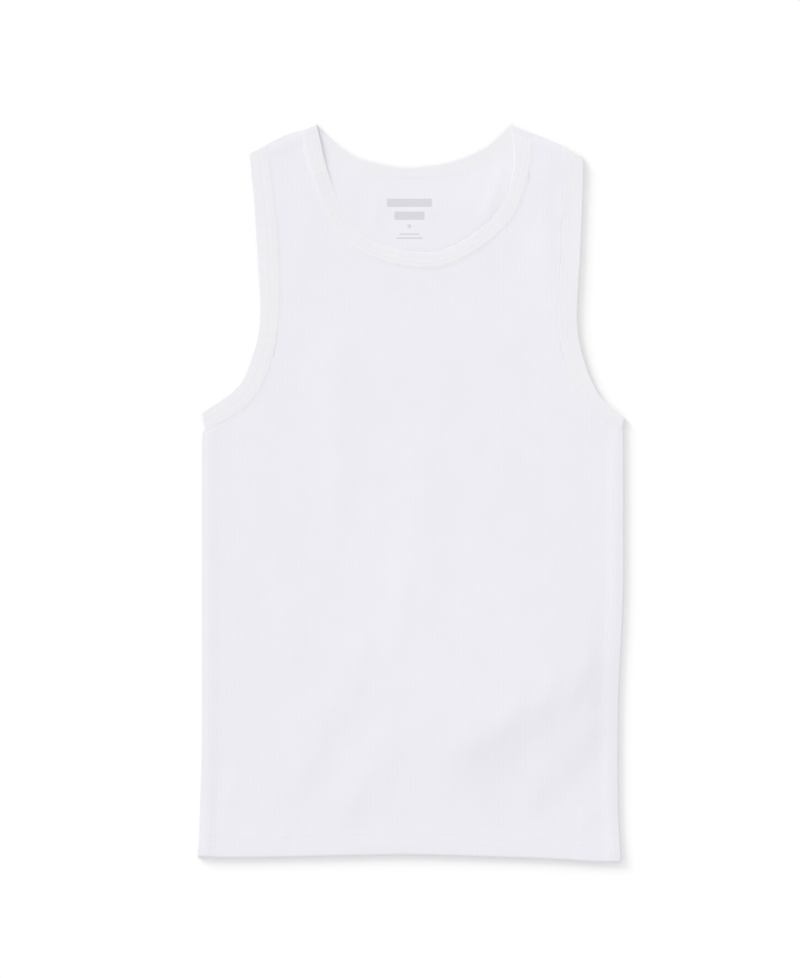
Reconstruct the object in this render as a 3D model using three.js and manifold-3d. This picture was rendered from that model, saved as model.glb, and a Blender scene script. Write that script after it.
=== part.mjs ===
// A ribbed cotton tank top, laid flat with its front up.
// Millimetres. Seen from above, X runs to the right, Y towards the neck and Z up from the surface.
// The back lies on the surface, the front lies on the back, and three folded bands bind the openings.

import * as THREE from "three";
import { mergeVertices } from "three/addons/utils/BufferGeometryUtils.js";
import Module from "manifold-3d";

const wasm = await Module();
wasm.setup();

// Driving dimensions. A drop is measured down from the line through the two neck points.
const LENGTH = 640;
const TOP = LENGTH / 2;
const PANEL_WALL = 1.2;
const BAND_WALL = 1.8;
const SEAM_GAP = 0.3;
const HEM_DEPTH = 18.5;
const HEM_EXTRA = 0.8;
const HEM_STEP = 3;
const RIB_PITCH = 3.8;
const RIB_HEIGHT = 0.4;
const ALLOWANCE_WIDTH = 9;
const ALLOWANCE_EXTRA = 0.9;
const AIR_UNDER_FRONT = 0.4;

// Heights of the inner faces of the two layers.
const BACK_INNER = PANEL_WALL;
const FRONT_INNER = BACK_INNER + SEAM_GAP + AIR_UNDER_FRONT;
const LOWER_BAND_INNER = BAND_WALL;
const UPPER_BAND_INNER = LOWER_BAND_INNER + SEAM_GAP;
const TURN_RADIUS = (UPPER_BAND_INNER - LOWER_BAND_INNER) / 2;
const TURN_HEIGHT = (UPPER_BAND_INNER + LOWER_BAND_INNER) / 2;

// Colours and finish of the cloth.
const CLOTH = { color: 0xeeedf3, roughness: 0.92, metalness: 0 };
const BAND_CLOTH = { color: 0xf1f0f4, roughness: 0.9, metalness: 0 };

// Sections across the neckband, front half, from the left shoulder round the scoop to the right.
// The edge is the free edge of the band, and the seam is where the front panel is sewn to it.
const NECK_FRONT = [
  { edgeX: -82.3, edgeDrop: 0.7, seamX: -94.8, seamDrop: 6.1 },
  { edgeX: -79, edgeDrop: 14, seamX: -92.2, seamDrop: 17.3 },
  { edgeX: -72.7, edgeDrop: 40.7, seamX: -85.3, seamDrop: 45 },
  { edgeX: -60, edgeDrop: 74, seamX: -72.3, seamDrop: 78.8 },
  { edgeX: -46.3, edgeDrop: 93.5, seamX: -55, seamDrop: 103.1 },
  { edgeX: -28, edgeDrop: 105, seamX: -33.3, seamDrop: 116.9 },
  { edgeX: 4.8, edgeDrop: 112.6, seamX: 4.8, seamDrop: 125.6 },
  { edgeX: 30, edgeDrop: 109.6, seamX: 33.3, seamDrop: 122.1 },
  { edgeX: 57.2, edgeDrop: 93.9, seamX: 65.4, seamDrop: 103.9 },
  { edgeX: 78.4, edgeDrop: 71.5, seamX: 89.6, seamDrop: 78 },
  { edgeX: 88.9, edgeDrop: 36.7, seamX: 101.8, seamDrop: 39 },
  { edgeX: 85.7, edgeDrop: 0.6, seamX: 103.5, seamDrop: 8.7 },
];

// The same for the back half, where less of the band shows.
const NECK_BACK = [
  { edgeX: -82.3, edgeDrop: 0.7, seamX: -94.8, seamDrop: 6.1 },
  { edgeX: -72.3, edgeDrop: 13, seamX: -80.4, seamDrop: 21 },
  { edgeX: -47.2, edgeDrop: 30.3, seamX: -51.9, seamDrop: 40.8 },
  { edgeX: -16, edgeDrop: 38.1, seamX: -17.1, seamDrop: 47 },
  { edgeX: 1.3, edgeDrop: 39, seamX: 2, seamDrop: 47.6 },
  { edgeX: 33.3, edgeDrop: 34.2, seamX: 36.4, seamDrop: 44.8 },
  { edgeX: 61.9, edgeDrop: 22.5, seamX: 67.5, seamDrop: 33 },
  { edgeX: 79.2, edgeDrop: 7.8, seamX: 89.2, seamDrop: 16 },
  { edgeX: 85.7, edgeDrop: 0.6, seamX: 103.5, seamDrop: 8.7 },
];

// Sections across the armhole bands, from the shoulder down to the underarm.
const ARMHOLE_LEFT = [
  { edgeX: -140, edgeDrop: 25.5, seamX: -126, seamDrop: 19 },
  { edgeX: -139.6, edgeDrop: 36, seamX: -123.5, seamDrop: 36 },
  { edgeX: -136.5, edgeDrop: 67, seamX: -119.3, seamDrop: 69 },
  { edgeX: -133.9, edgeDrop: 110, seamX: -115.6, seamDrop: 111 },
  { edgeX: -131.3, edgeDrop: 154, seamX: -114.4, seamDrop: 150 },
  { edgeX: -132.6, edgeDrop: 183, seamX: -116.2, seamDrop: 178.5 },
  { edgeX: -137.9, edgeDrop: 202, seamX: -121.5, seamDrop: 206 },
  { edgeX: -145.9, edgeDrop: 222.6, seamX: -131.8, seamDrop: 231.2 },
  { edgeX: -158.5, edgeDrop: 236, seamX: -148.2, seamDrop: 249.5 },
  { edgeX: -182.7, edgeDrop: 252, seamX: -179.7, seamDrop: 267.8 },
];
const ARMHOLE_RIGHT = [
  { edgeX: 147.5, edgeDrop: 29.5, seamX: 132.5, seamDrop: 20.5 },
  { edgeX: 148.3, edgeDrop: 41, seamX: 133, seamDrop: 41 },
  { edgeX: 146.2, edgeDrop: 105, seamX: 130.5, seamDrop: 105.5 },
  { edgeX: 143.3, edgeDrop: 162, seamX: 128, seamDrop: 162 },
  { edgeX: 145.2, edgeDrop: 188, seamX: 130.4, seamDrop: 190.6 },
  { edgeX: 151.1, edgeDrop: 211.3, seamX: 137.2, seamDrop: 216 },
  { edgeX: 158, edgeDrop: 227.8, seamX: 145.2, seamDrop: 234.2 },
  { edgeX: 165.4, edgeDrop: 239.9, seamX: 154.8, seamDrop: 248.8 },
  { edgeX: 176.2, edgeDrop: 249.4, seamX: 168, seamDrop: 259.6 },
  { edgeX: 185.8, edgeDrop: 256.3, seamX: 182.7, seamDrop: 266.7 },
];

// Middle point of each shoulder seam, which bows a little outwards.
const SHOULDER_LEFT = { x: -110.4, drop: 11.3 };
const SHOULDER_RIGHT = { x: 119.1, drop: 14.7 };

// The side seams, from the underarm down to the hem's corners.
const SIDE_LEFT = [
  { x: -179.7, drop: 267.8 },
  { x: -181.2, drop: 279 },
  { x: -181.4, drop: 400 },
  { x: -181.4, drop: 534 },
  { x: -184, drop: 621 },
  { x: -185.2, drop: 631 },
];
const SIDE_RIGHT = [
  { x: 182.7, drop: 266.7 },
  { x: 182.7, drop: 340 },
  { x: 182.3, drop: 413 },
  { x: 178.8, drop: 500 },
  { x: 178.8, drop: 586 },
  { x: 181.3, drop: 636 },
];

// The lower edge, from left to right, with the slight wave that it lies in.
const HEM = [
  { x: -182, drop: 635.5 },
  { x: -150, drop: 636.5 },
  { x: -60, drop: 634.8 },
  { x: 0, drop: 633.9 },
  { x: 60, drop: 635.5 },
  { x: 120, drop: 637.6 },
  { x: 160, drop: 640 },
  { x: 178, drop: 640 },
];

// The largest soft folds of the front: a ridge from one end to the other, with its half width and height.
const FOLDS = [
  { fromX: 118, fromDrop: 460, toX: 45, toDrop: 550, halfWidth: 24, height: 2.6 },
  { fromX: 150, fromDrop: 525, toX: 168, toDrop: 605, halfWidth: 12, height: 1.6 },
  { fromX: -76, fromDrop: 518, toX: -98, toDrop: 570, halfWidth: 15, height: 1.6 },
  { fromX: -44, fromDrop: 566, toX: -8, toDrop: 592, halfWidth: 14, height: 1.2 },
  { fromX: -45, fromDrop: 455, toX: -48, toDrop: 500, halfWidth: 12, height: 1 },
  { fromX: -64, fromDrop: 250, toX: -74, toDrop: 298, halfWidth: 14, height: 1 },
  { fromX: -99, fromDrop: 58, toX: -93, toDrop: 112, halfWidth: 8, height: 1.2 },
  { fromX: 120, fromDrop: 60, toX: 121, toDrop: 100, halfWidth: 7, height: 1.2 },
];

// How finely the curves and grids are divided.
const DIVISIONS = { neck: 34, armhole: 22, side: 8, hem: 18, shoulder: 3, turn: 5 };
const INNER_COLUMNS = 25;
const PANEL_ROWS = [
  { from: -328, to: -304, step: 24 },
  { from: -300, to: -296, step: 4 },
  { from: -268, to: -58, step: 30 },
  { from: -10, to: 242, step: 63 },
  { from: 264, to: 328, step: 16 },
];

// A smooth plan curve through rows that have an x and a drop.
function planCurve(rows, xKey = "x", dropKey = "drop") {
  return new THREE.SplineCurve(rows.map((row) => new THREE.Vector2(row[xKey], TOP - row[dropKey])));
}

function edgeCurve(rows) {
  return planCurve(rows, "edgeX", "edgeDrop");
}

function seamCurve(rows) {
  return planCurve(rows, "seamX", "seamDrop");
}

// The height of a curve at x, for a curve that runs from left to right.
function levelAt(curve, x) {
  const points = curve.getPoints(2 * DIVISIONS.hem);
  const next = points.findIndex((point) => point.x >= x);
  if (next === 0) {
    return points[0].y;
  }
  if (next < 0) {
    return points[points.length - 1].y;
  }
  const [a, b] = [points[next - 1], points[next]];
  return THREE.MathUtils.mapLinear(x, a.x, b.x, a.y, b.y);
}

// Closed triangle mesh as a solid, turned to face out.
function solidFrom(geometry) {
  const bare = geometry.clone();
  bare.deleteAttribute("normal");
  bare.deleteAttribute("uv");
  const merged = mergeVertices(bare, 1e-3);
  const vertProperties = new Float32Array(merged.attributes.position.array);
  const triVerts = new Uint32Array(merged.index.array);
  return new wasm.Manifold(new wasm.Mesh({ numProp: 3, vertProperties, triVerts }));
}

function geometryFrom(solid) {
  const mesh = solid.getMesh();
  const geometry = new THREE.BufferGeometry();
  geometry.setAttribute("position", new THREE.BufferAttribute(mesh.vertProperties, 3));
  geometry.setIndex(new THREE.BufferAttribute(mesh.triVerts, 1));
  geometry.computeVertexNormals();
  return geometry;
}

// Six times the signed volume of a triangle mesh is the sum of its triple products.
function signedVolume(points, triangles) {
  let sum = 0;
  for (let i = 0; i < triangles.length; i += 3) {
    const [a, b, c] = [points[triangles[i]], points[triangles[i + 1]], points[triangles[i + 2]]];
    sum += a.dot(b.clone().cross(c));
  }
  return sum / 6;
}

// A geometry from points and triangles, with its faces turned outwards.
function closedGeometry(points, triangles) {
  if (signedVolume(points, triangles) < 0) {
    triangles.reverse();
  }
  return new THREE.BufferGeometry().setFromPoints(points).setIndex(triangles);
}

// The solid between a flat floor and a surface given on a grid of columns and rows.
function blockUnder(columns, rows, surface, floor) {
  const points = [];
  for (const row of rows) {
    for (const column of columns) {
      points.push(surface(column, row));
    }
  }
  const layer = points.length;
  for (const point of points.slice(0, layer)) {
    points.push(new THREE.Vector3(point.x, point.y, floor));
  }
  const across = columns.length;
  const triangles = [];
  for (let j = 0; j + 1 < rows.length; j++) {
    for (let i = 0; i + 1 < across; i++) {
      const a = j * across + i;
      const [b, c, d] = [a + 1, a + across + 1, a + across];
      triangles.push(a, b, c, a, c, d);
      triangles.push(layer + a, layer + c, layer + b, layer + a, layer + d, layer + c);
    }
  }
  const rim = [];
  for (let i = 0; i < across; i++) {
    rim.push(i);
  }
  for (let j = 1; j < rows.length; j++) {
    rim.push(j * across + across - 1);
  }
  for (let i = across - 2; i >= 0; i--) {
    rim.push((rows.length - 1) * across + i);
  }
  for (let j = rows.length - 2; j > 0; j--) {
    rim.push(j * across);
  }
  rim.forEach((a, i) => {
    const b = rim[(i + 1) % rim.length];
    triangles.push(a, layer + a, layer + b, a, layer + b, b);
  });
  return solidFrom(closedGeometry(points, triangles));
}

// The outline of a panel, all round, from its sides, hem, armhole seams, shoulders and neck seam.
function panelOutline(neckSeam, armSeamLeft, armSeamRight) {
  const shoulder = (outer, middle, inner) =>
    new THREE.SplineCurve([outer, new THREE.Vector2(middle.x, TOP - middle.drop), inner]);
  const runs = [
    planCurve(HEM).getPoints(DIVISIONS.hem),
    planCurve(SIDE_RIGHT).getPoints(DIVISIONS.side).reverse(),
    [...armSeamRight].reverse(),
    shoulder(armSeamRight[0], SHOULDER_RIGHT, neckSeam.at(-1)).getPoints(DIVISIONS.shoulder),
    [...neckSeam].reverse(),
    shoulder(neckSeam[0], SHOULDER_LEFT, armSeamLeft[0]).getPoints(DIVISIONS.shoulder),
    armSeamLeft,
    planCurve(SIDE_LEFT).getPoints(DIVISIONS.side),
  ];
  const outline = [];
  for (const point of runs.flat()) {
    const last = outline[outline.length - 1];
    if (!last || last.distanceTo(point) > SEAM_GAP) {
      outline.push(point);
    }
  }
  return outline;
}

// The upright prism over an outline, from one height to another.
function prismOver(outline, low, high) {
  const shape = new THREE.Shape(outline);
  const geometry = new THREE.ExtrudeGeometry(shape, { depth: high - low, bevelEnabled: false });
  geometry.translate(0, 0, low);
  return solidFrom(geometry);
}

// One soft ridge: highest along its line, with round flanks and ends that fade out.
function foldHeight(fold, x, y) {
  const from = new THREE.Vector2(fold.fromX, TOP - fold.fromDrop);
  const to = new THREE.Vector2(fold.toX, TOP - fold.toDrop);
  const along = to.clone().sub(from);
  const length = along.length();
  along.normalize();
  const place = new THREE.Vector2(x, y).sub(from);
  const beyond = Math.max(0, -place.dot(along), place.dot(along) - length);
  const aside = place.cross(along);
  return fold.height * Math.exp(-(aside * aside + beyond * beyond) / fold.halfWidth ** 2);
}

const hemCurve = planCurve(HEM);
const shoulderCurves = {
  left: new THREE.SplineCurve([
    new THREE.Vector2(ARMHOLE_LEFT[0].edgeX, TOP - ARMHOLE_LEFT[0].edgeDrop),
    new THREE.Vector2(SHOULDER_LEFT.x, TOP - SHOULDER_LEFT.drop),
    new THREE.Vector2(NECK_FRONT[0].edgeX, TOP - NECK_FRONT[0].edgeDrop),
  ]),
  right: new THREE.SplineCurve([
    new THREE.Vector2(NECK_FRONT.at(-1).edgeX, TOP - NECK_FRONT.at(-1).edgeDrop),
    new THREE.Vector2(SHOULDER_RIGHT.x, TOP - SHOULDER_RIGHT.drop),
    new THREE.Vector2(ARMHOLE_RIGHT[0].edgeX, TOP - ARMHOLE_RIGHT[0].edgeDrop),
  ]),
};

// 1 inside the turned up hem and 0 above it, with a soft step between.
function hemShare(x, y) {
  const above = y - levelAt(hemCurve, x) - HEM_DEPTH;
  return 1 - THREE.MathUtils.smoothstep(above, -HEM_STEP / 2, HEM_STEP / 2);
}

// 1 over the seam allowance that lies inside a side or shoulder seam, and 0 away from it.
function allowanceShare(x, y) {
  const side = Math.min(x - SIDE_LEFT[2].x, SIDE_RIGHT[2].x - x);
  const shoulder = levelAt(x < 0 ? shoulderCurves.left : shoulderCurves.right, x) - y;
  const inward = Math.min(side, shoulder);
  return 1 - THREE.MathUtils.smoothstep(inward, ALLOWANCE_WIDTH - 4, ALLOWANCE_WIDTH + 1);
}

function frontInner(x, y) {
  const folds = FOLDS.reduce((sum, fold) => sum + foldHeight(fold, x, y), 0);
  return FRONT_INNER + HEM_EXTRA * hemShare(x, y) + folds;
}

// The front's right side: the wall over the inner face, thicker at the hem and seams, with upright ribs.
function frontOuter(x, y) {
  const onCrest = Math.round((2 * x) / RIB_PITCH) % 2 === 0;
  const wall = PANEL_WALL + HEM_EXTRA * hemShare(x, y) + ALLOWANCE_EXTRA * allowanceShare(x, y);
  return frontInner(x, y) + wall + (onCrest ? RIB_HEIGHT : 0);
}

function backInner(x, y) {
  return BACK_INNER + HEM_EXTRA * hemShare(x, y);
}

// Rows of a panel's grid. The lowest ones follow the wave of the hem.
function rowLevels() {
  const levels = [];
  for (const { from, to, step } of PANEL_ROWS) {
    for (let level = from; level <= to; level += step) {
      levels.push(level);
    }
  }
  return levels;
}

// Grid points of a height function, on rows that follow the hem at the bottom.
function gridSurface(height) {
  const hemMean = TOP - HEM[1].drop;
  return (x, level) => {
    const follow = THREE.MathUtils.clamp((-200 - level) / 80, 0, 1);
    const y = level + follow * (levelAt(hemCurve, x) - hemMean);
    return new THREE.Vector3(x, y, height(x, y));
  };
}

// Columns at every rib crest and groove, or spread evenly over the panel's width.
function ribColumns() {
  const half = Math.ceil((2 * (TOP * 0.6)) / RIB_PITCH);
  return Array.from({ length: 2 * half + 1 }, (_, i) => ((i - half) * RIB_PITCH) / 2);
}

function plainColumns() {
  const reach = TOP * 0.6 + RIB_PITCH;
  return Array.from({ length: INNER_COLUMNS }, (_, i) =>
    THREE.MathUtils.mapLinear(i, 0, INNER_COLUMNS - 1, -reach, reach));
}

const BELOW = -6;
const ABOVE = 24;

function frontPanel(outline) {
  const rows = rowLevels();
  const ribbed = blockUnder(ribColumns(), rows, gridSurface(frontOuter), BELOW);
  const hollow = blockUnder(plainColumns(), rows, gridSurface(frontInner), BELOW - 2);
  return geometryFrom(ribbed.subtract(hollow).intersect(prismOver(outline, BELOW, ABOVE)));
}

// The back's underside is flat, because it lies on the surface.
function backPanel(outline) {
  const block = blockUnder(plainColumns(), rowLevels(), gridSurface(backInner), BELOW);
  return geometryFrom(block.intersect(prismOver(outline, 0, ABOVE)));
}

// The outline of a band's wall: across it from the free edge, and through it from the inner face.
function bandProfile(width) {
  const round = 0.35 * BAND_WALL;
  return [
    { across: round, through: 0 },
    { across: 0, through: round },
    { across: 0, through: BAND_WALL - round },
    { across: round, through: BAND_WALL },
    { across: width - round, through: BAND_WALL },
    { across: width, through: BAND_WALL - round },
    { across: width, through: 0 },
  ];
}

// Sections across one half of a band: its free edge and seam, and the gap that it keeps to the panel.
function sectionsAcross(rows, divisions) {
  const [edge, seam] = [edgeCurve(rows), seamCurve(rows)];
  return Array.from({ length: divisions + 1 }, (_, i) => {
    const section = { edge: edge.getPoint(i / divisions), seam: seam.getPoint(i / divisions) };
    const across = section.seam.clone().sub(section.edge).normalize();
    const slant = Math.abs(across.cross(seam.getTangent(i / divisions)));
    section.gap = SEAM_GAP / Math.max(slant, 0.4);
    return section;
  });
}

// The way out of a ring at one end, square to the line across the band there.
function outwardAt(end, next) {
  const across = end.seam.clone().sub(end.edge).normalize();
  const outward = new THREE.Vector2(-across.y, across.x);
  const back = end.edge.clone().add(end.seam).sub(next.edge).sub(next.seam);
  return outward.dot(back) < 0 ? outward.negate() : outward;
}

// Both halves of a flattened ring, which start at the same end. The wall turns from one to the other
// round an axis that lies in from the outline, so the halves end there and leave out what lies beyond.
function layOutRing(upperRows, lowerRows, divisions) {
  const halves = [upperRows, lowerRows].map((rows) => sectionsAcross(rows, divisions));
  const ends = [halves[0][0], halves[0].at(-1)];
  const outwards = [outwardAt(halves[0][0], halves[0][1]), outwardAt(ends[1], halves[0].at(-2))];
  const inset = TURN_RADIUS + BAND_WALL;
  const clearOf = (point, end, i) => end.clone().sub(point).dot(outwards[i]) > 1.5 * inset;
  const [upper, lower] = halves.map((half) => {
    const flat = half.filter(({ edge, seam }) =>
      ends.every((end, i) => clearOf(edge, end.edge, i) && clearOf(seam, end.seam, i)));
    const [first, last] = ends.map(({ edge, seam, gap }, i) => ({
      edge: edge.clone().addScaledVector(outwards[i], -inset),
      seam: seam.clone().addScaledVector(outwards[i], -inset),
      gap,
    }));
    return [first, ...flat, last];
  });
  const seamOf = (half) => [ends[0].seam, ...half.map(({ seam }) => seam), ends[1].seam];
  return { upper, lower, outwards, upperSeam: seamOf(upper), lowerSeam: seamOf(lower) };
}

// A flattened ring of folded cloth: the upper half lies on the lower one, with a turn at each end.
function bandRing({ upper, lower, outwards }) {
  const up = new THREE.Vector3(0, 0, 1);
  const stations = [];
  const addStation = ({ edge, seam, gap }, normal) => {
    const across = seam.clone().sub(edge);
    const width = across.length() - gap;
    across.normalize();
    const side = new THREE.Vector3(across.x, across.y, 0);
    const start = new THREE.Vector3(edge.x, edge.y, TURN_HEIGHT).addScaledVector(normal, TURN_RADIUS);
    stations.push(
      bandProfile(width).map((corner) =>
        start.clone().addScaledVector(side, corner.across).addScaledVector(normal, corner.through)),
    );
  };
  const addTurn = (end, outward, from) => {
    const out = new THREE.Vector3(outward.x, outward.y, 0);
    for (let i = 1; i < DIVISIONS.turn; i++) {
      const angle = from + (Math.PI * i) / DIVISIONS.turn;
      const normal = out.clone().multiplyScalar(Math.abs(Math.sin(angle)));
      addStation(end, normal.addScaledVector(up, Math.cos(angle)));
    }
  };
  upper.forEach((section) => addStation(section, up));
  addTurn(upper.at(-1), outwards[1], 0);
  [...lower].reverse().forEach((section) => addStation(section, up.clone().negate()));
  addTurn(upper[0], outwards[0], Math.PI);
  return loftRing(stations);
}

// A closed tube of stations that all have the same number of points.
function loftRing(stations) {
  const count = stations[0].length;
  const triangles = [];
  stations.forEach((_, i) => {
    const next = (i + 1) % stations.length;
    for (let k = 0; k < count; k++) {
      const m = (k + 1) % count;
      const [a, b, c, d] = [i * count + k, i * count + m, next * count + m, next * count + k];
      triangles.push(a, b, c, a, c, d);
    }
  });
  return closedGeometry(stations.flat(), triangles);
}

function piece(name, geometry, look) {
  const mesh = new THREE.Mesh(geometry, new THREE.MeshStandardMaterial(look));
  mesh.name = name;
  return mesh;
}

const neck = layOutRing(NECK_FRONT, NECK_BACK, DIVISIONS.neck);
const armLeft = layOutRing(ARMHOLE_LEFT, ARMHOLE_LEFT, DIVISIONS.armhole);
const armRight = layOutRing(ARMHOLE_RIGHT, ARMHOLE_RIGHT, DIVISIONS.armhole);
const frontOutline = panelOutline(neck.upperSeam, armLeft.upperSeam, armRight.upperSeam);
const backOutline = panelOutline(neck.lowerSeam, armLeft.lowerSeam, armRight.lowerSeam);

const garment = new THREE.Group();
garment.add(
  piece("back_panel", backPanel(backOutline), CLOTH),
  piece("front_panel", frontPanel(frontOutline), CLOTH),
  piece("neckband", bandRing(neck), BAND_CLOTH),
  piece("armhole_band_left", bandRing(armLeft), BAND_CLOTH),
  piece("armhole_band_right", bandRing(armRight), BAND_CLOTH),
);

// The origin is the middle of the garment's box, on the surface.
const box = new THREE.Box3().setFromObject(garment);
const middle = box.getCenter(new THREE.Vector3());
garment.position.set(-middle.x, -middle.y, -box.min.z);

export default garment;
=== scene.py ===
"""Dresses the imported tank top: rib knit panels, bound edges, topstitching, a neck print and a studio.

The garment lies flat with its front up. X runs to the right, Y towards the neck and Z up. Shapes are
worked out in millimetres, in the pattern's own plan, and become metres when a mesh is made. A drop is
measured down from the line through the two neck points.
"""

from __future__ import annotations

import logging
import math
from dataclasses import dataclass, field
from enum import Enum
from functools import partial
from typing import Callable, Sequence

import bmesh
import bpy
import numpy as np
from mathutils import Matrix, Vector

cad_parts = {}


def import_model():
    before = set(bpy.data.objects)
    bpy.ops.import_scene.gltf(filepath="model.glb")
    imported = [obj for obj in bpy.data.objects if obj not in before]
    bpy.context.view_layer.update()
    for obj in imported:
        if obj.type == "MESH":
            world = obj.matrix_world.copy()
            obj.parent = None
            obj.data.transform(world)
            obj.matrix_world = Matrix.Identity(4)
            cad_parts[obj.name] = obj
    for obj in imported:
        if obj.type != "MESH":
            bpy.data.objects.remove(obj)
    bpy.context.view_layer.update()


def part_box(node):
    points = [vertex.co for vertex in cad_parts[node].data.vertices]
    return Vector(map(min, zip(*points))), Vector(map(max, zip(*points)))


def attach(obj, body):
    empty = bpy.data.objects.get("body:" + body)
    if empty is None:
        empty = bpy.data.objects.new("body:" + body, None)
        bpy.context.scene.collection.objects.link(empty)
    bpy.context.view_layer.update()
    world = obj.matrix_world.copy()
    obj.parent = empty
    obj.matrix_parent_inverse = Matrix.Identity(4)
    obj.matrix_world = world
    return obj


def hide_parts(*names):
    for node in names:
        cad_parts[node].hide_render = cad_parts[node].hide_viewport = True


log = logging.getLogger("tank_top")

Array = np.ndarray
Row = tuple[float, ...]
Line = Callable[[Array], Array]

MM = 0.001
# A distance in millimetres that is beyond every effect of an edge.
FAR = 99.0
# Points closer than this, in metres, are one point.
SAME_POINT = 1e-7
# Where the two faces of a panel lie on the cloth's map, in metres, and the line between them.
MAP_TOP_FACE = (0.2, 0.34)
MAP_BOTTOM_FACE = (0.6, 0.34)
MAP_BETWEEN_FACES = 0.4


class Slot(Enum):
    """The record's material slots."""

    RIB = "rib_knit"
    BAND = "band_knit"


@dataclass(frozen=True)
class Sizes:
    """The garment's driving sizes, in millimetres."""

    length: float = 640.0
    panel_wall: float = 1.2
    band_wall: float = 1.6
    seam_gap: float = 0.3
    air: float = 0.9
    hem_depth: float = 18.5
    hem_extra: float = 0.3
    rib_pitch: float = 3.8
    rib_height: float = 0.038
    allowance_width: float = 12.5
    allowance_extra: float = 0.42
    seam_lap: float = 1.0
    seam_reach: float = 30.0
    band_over: float = 1.3
    band_stand: float = 0.6
    neck_step: float = 0.48
    left_arm_step: float = 0.47
    right_arm_step: float = 0.25
    back_step: float = 0.16
    edge_radius: float = 0.6
    side_spread: float = 0.6
    neck_settle: float = 0.7
    opening_step: float = 0.04
    back_lie: float = 0.8
    stitch_length: float = 2.6
    thread_radius: float = 0.115
    dent_width: float = 0.8
    hem_dent: float = 0.045
    band_dent: float = 0.03
    least_wall: float = 0.1

    @property
    def top(self) -> float:
        """Height of the neck points above the middle of the garment."""
        return self.length / 2

    @property
    def lower_inner(self) -> float:
        """Height of a band's inner face in the lower layer."""
        return self.band_wall

    @property
    def upper_inner(self) -> float:
        """Height of a band's inner face in the upper layer."""
        return self.band_top - self.band_wall

    @property
    def band_top(self) -> float:
        """Height of a band's upper face, which stands above the front beside it."""
        return self.front_inner + self.panel_wall + self.band_stand

    @property
    def front_inner(self) -> float:
        """Height of the front panel's inner face."""
        return self.panel_wall + self.seam_gap + self.air

    @property
    def side_seam(self) -> float:
        """Height of the line where front and back meet at a side."""
        return self.panel_wall + self.seam_gap / 2


SIZES = Sizes()

# Sections across a band: edge x, edge drop, seam x, seam drop.
NECK_FRONT: tuple[Row, ...] = (
    (-82.3, 0.7, -94.8, 6.1),
    (-79, 14, -92.2, 17.3),
    (-72.7, 40.7, -85.3, 45),
    (-60, 74, -72.3, 78.8),
    (-46.3, 93.5, -55, 103.1),
    (-28, 105, -33.3, 116.9),
    (4.8, 112.6, 4.8, 125.6),
    (30, 109.6, 33.3, 122.1),
    (57.2, 93.9, 65.4, 103.9),
    (78.4, 71.5, 89.6, 78),
    (88.9, 36.7, 101.8, 39),
    (85.7, 0.6, 103.5, 8.7),
)
NECK_BACK: tuple[Row, ...] = (
    (-82.3, 0.7, -94.8, 6.1),
    (-72.3, 13, -80.4, 21),
    (-47.2, 30.3, -51.9, 40.8),
    (-16, 38.1, -17.1, 47),
    (1.3, 39, 2, 47.6),
    (33.3, 34.2, 36.4, 44.8),
    (61.9, 22.5, 67.5, 33),
    (79.2, 7.8, 89.2, 16),
    (85.7, 0.6, 103.5, 8.7),
)
ARMHOLE_LEFT: tuple[Row, ...] = (
    (-140, 25.5, -126, 19),
    (-139.6, 36, -123.5, 36),
    (-136.5, 67, -119.3, 69),
    (-133.9, 110, -115.6, 111),
    (-131.3, 154, -114.4, 150),
    (-132.6, 183, -116.2, 178.5),
    (-137.9, 202, -121.5, 206),
    (-145.9, 222.6, -131.8, 231.2),
    (-158.5, 236, -148.2, 249.5),
    (-182.7, 252, -179.7, 267.8),
)
ARMHOLE_RIGHT: tuple[Row, ...] = (
    (148.1, 29.5, 132.5, 20.5),
    (148.9, 41, 132.4, 41),
    (146.8, 105, 130.5, 105.5),
    (143.6, 162, 128, 162),
    (145.2, 188, 130.4, 190.6),
    (151.1, 211.3, 137.2, 216),
    (158, 227.8, 145.2, 234.2),
    (165.4, 239.9, 154.8, 248.8),
    (176.2, 249.4, 168, 259.6),
    (185.8, 256.3, 182.7, 266.7),
)

# Plan curves: x, drop.
SHOULDER_LEFT: Row = (-110.4, 11.3)
SHOULDER_RIGHT: Row = (119.1, 14.7)
SIDE_LEFT: tuple[Row, ...] = (
    (-179.7, 267.8),
    (-181.2, 279),
    (-181.4, 400),
    (-181.4, 534),
    (-184, 621),
    (-185.2, 631),
)
SIDE_RIGHT: tuple[Row, ...] = (
    (183.3, 266.7),
    (183.6, 340),
    (183.1, 413),
    (179.2, 500),
    (178.9, 586),
    (181.3, 636),
)
HEM: tuple[Row, ...] = (
    (-182, 635.5),
    (-150, 636.5),
    (-60, 634.8),
    (0, 633.9),
    (60, 635.5),
    (120, 637.6),
    (160, 640),
    (178, 640),
)
# Where the neckband's two ends meet, over the right shoulder.
NECK_JOIN: Row = (95.0, 12.5)
# How far each band's outer face falls towards its free edge.
NECK_CROWN = 0.12
ARM_CROWN = 0.06
# Distances of the hem's two stitch lines above its edge.
HEM_STITCH_LINES = (14.2, 17.4)


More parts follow.
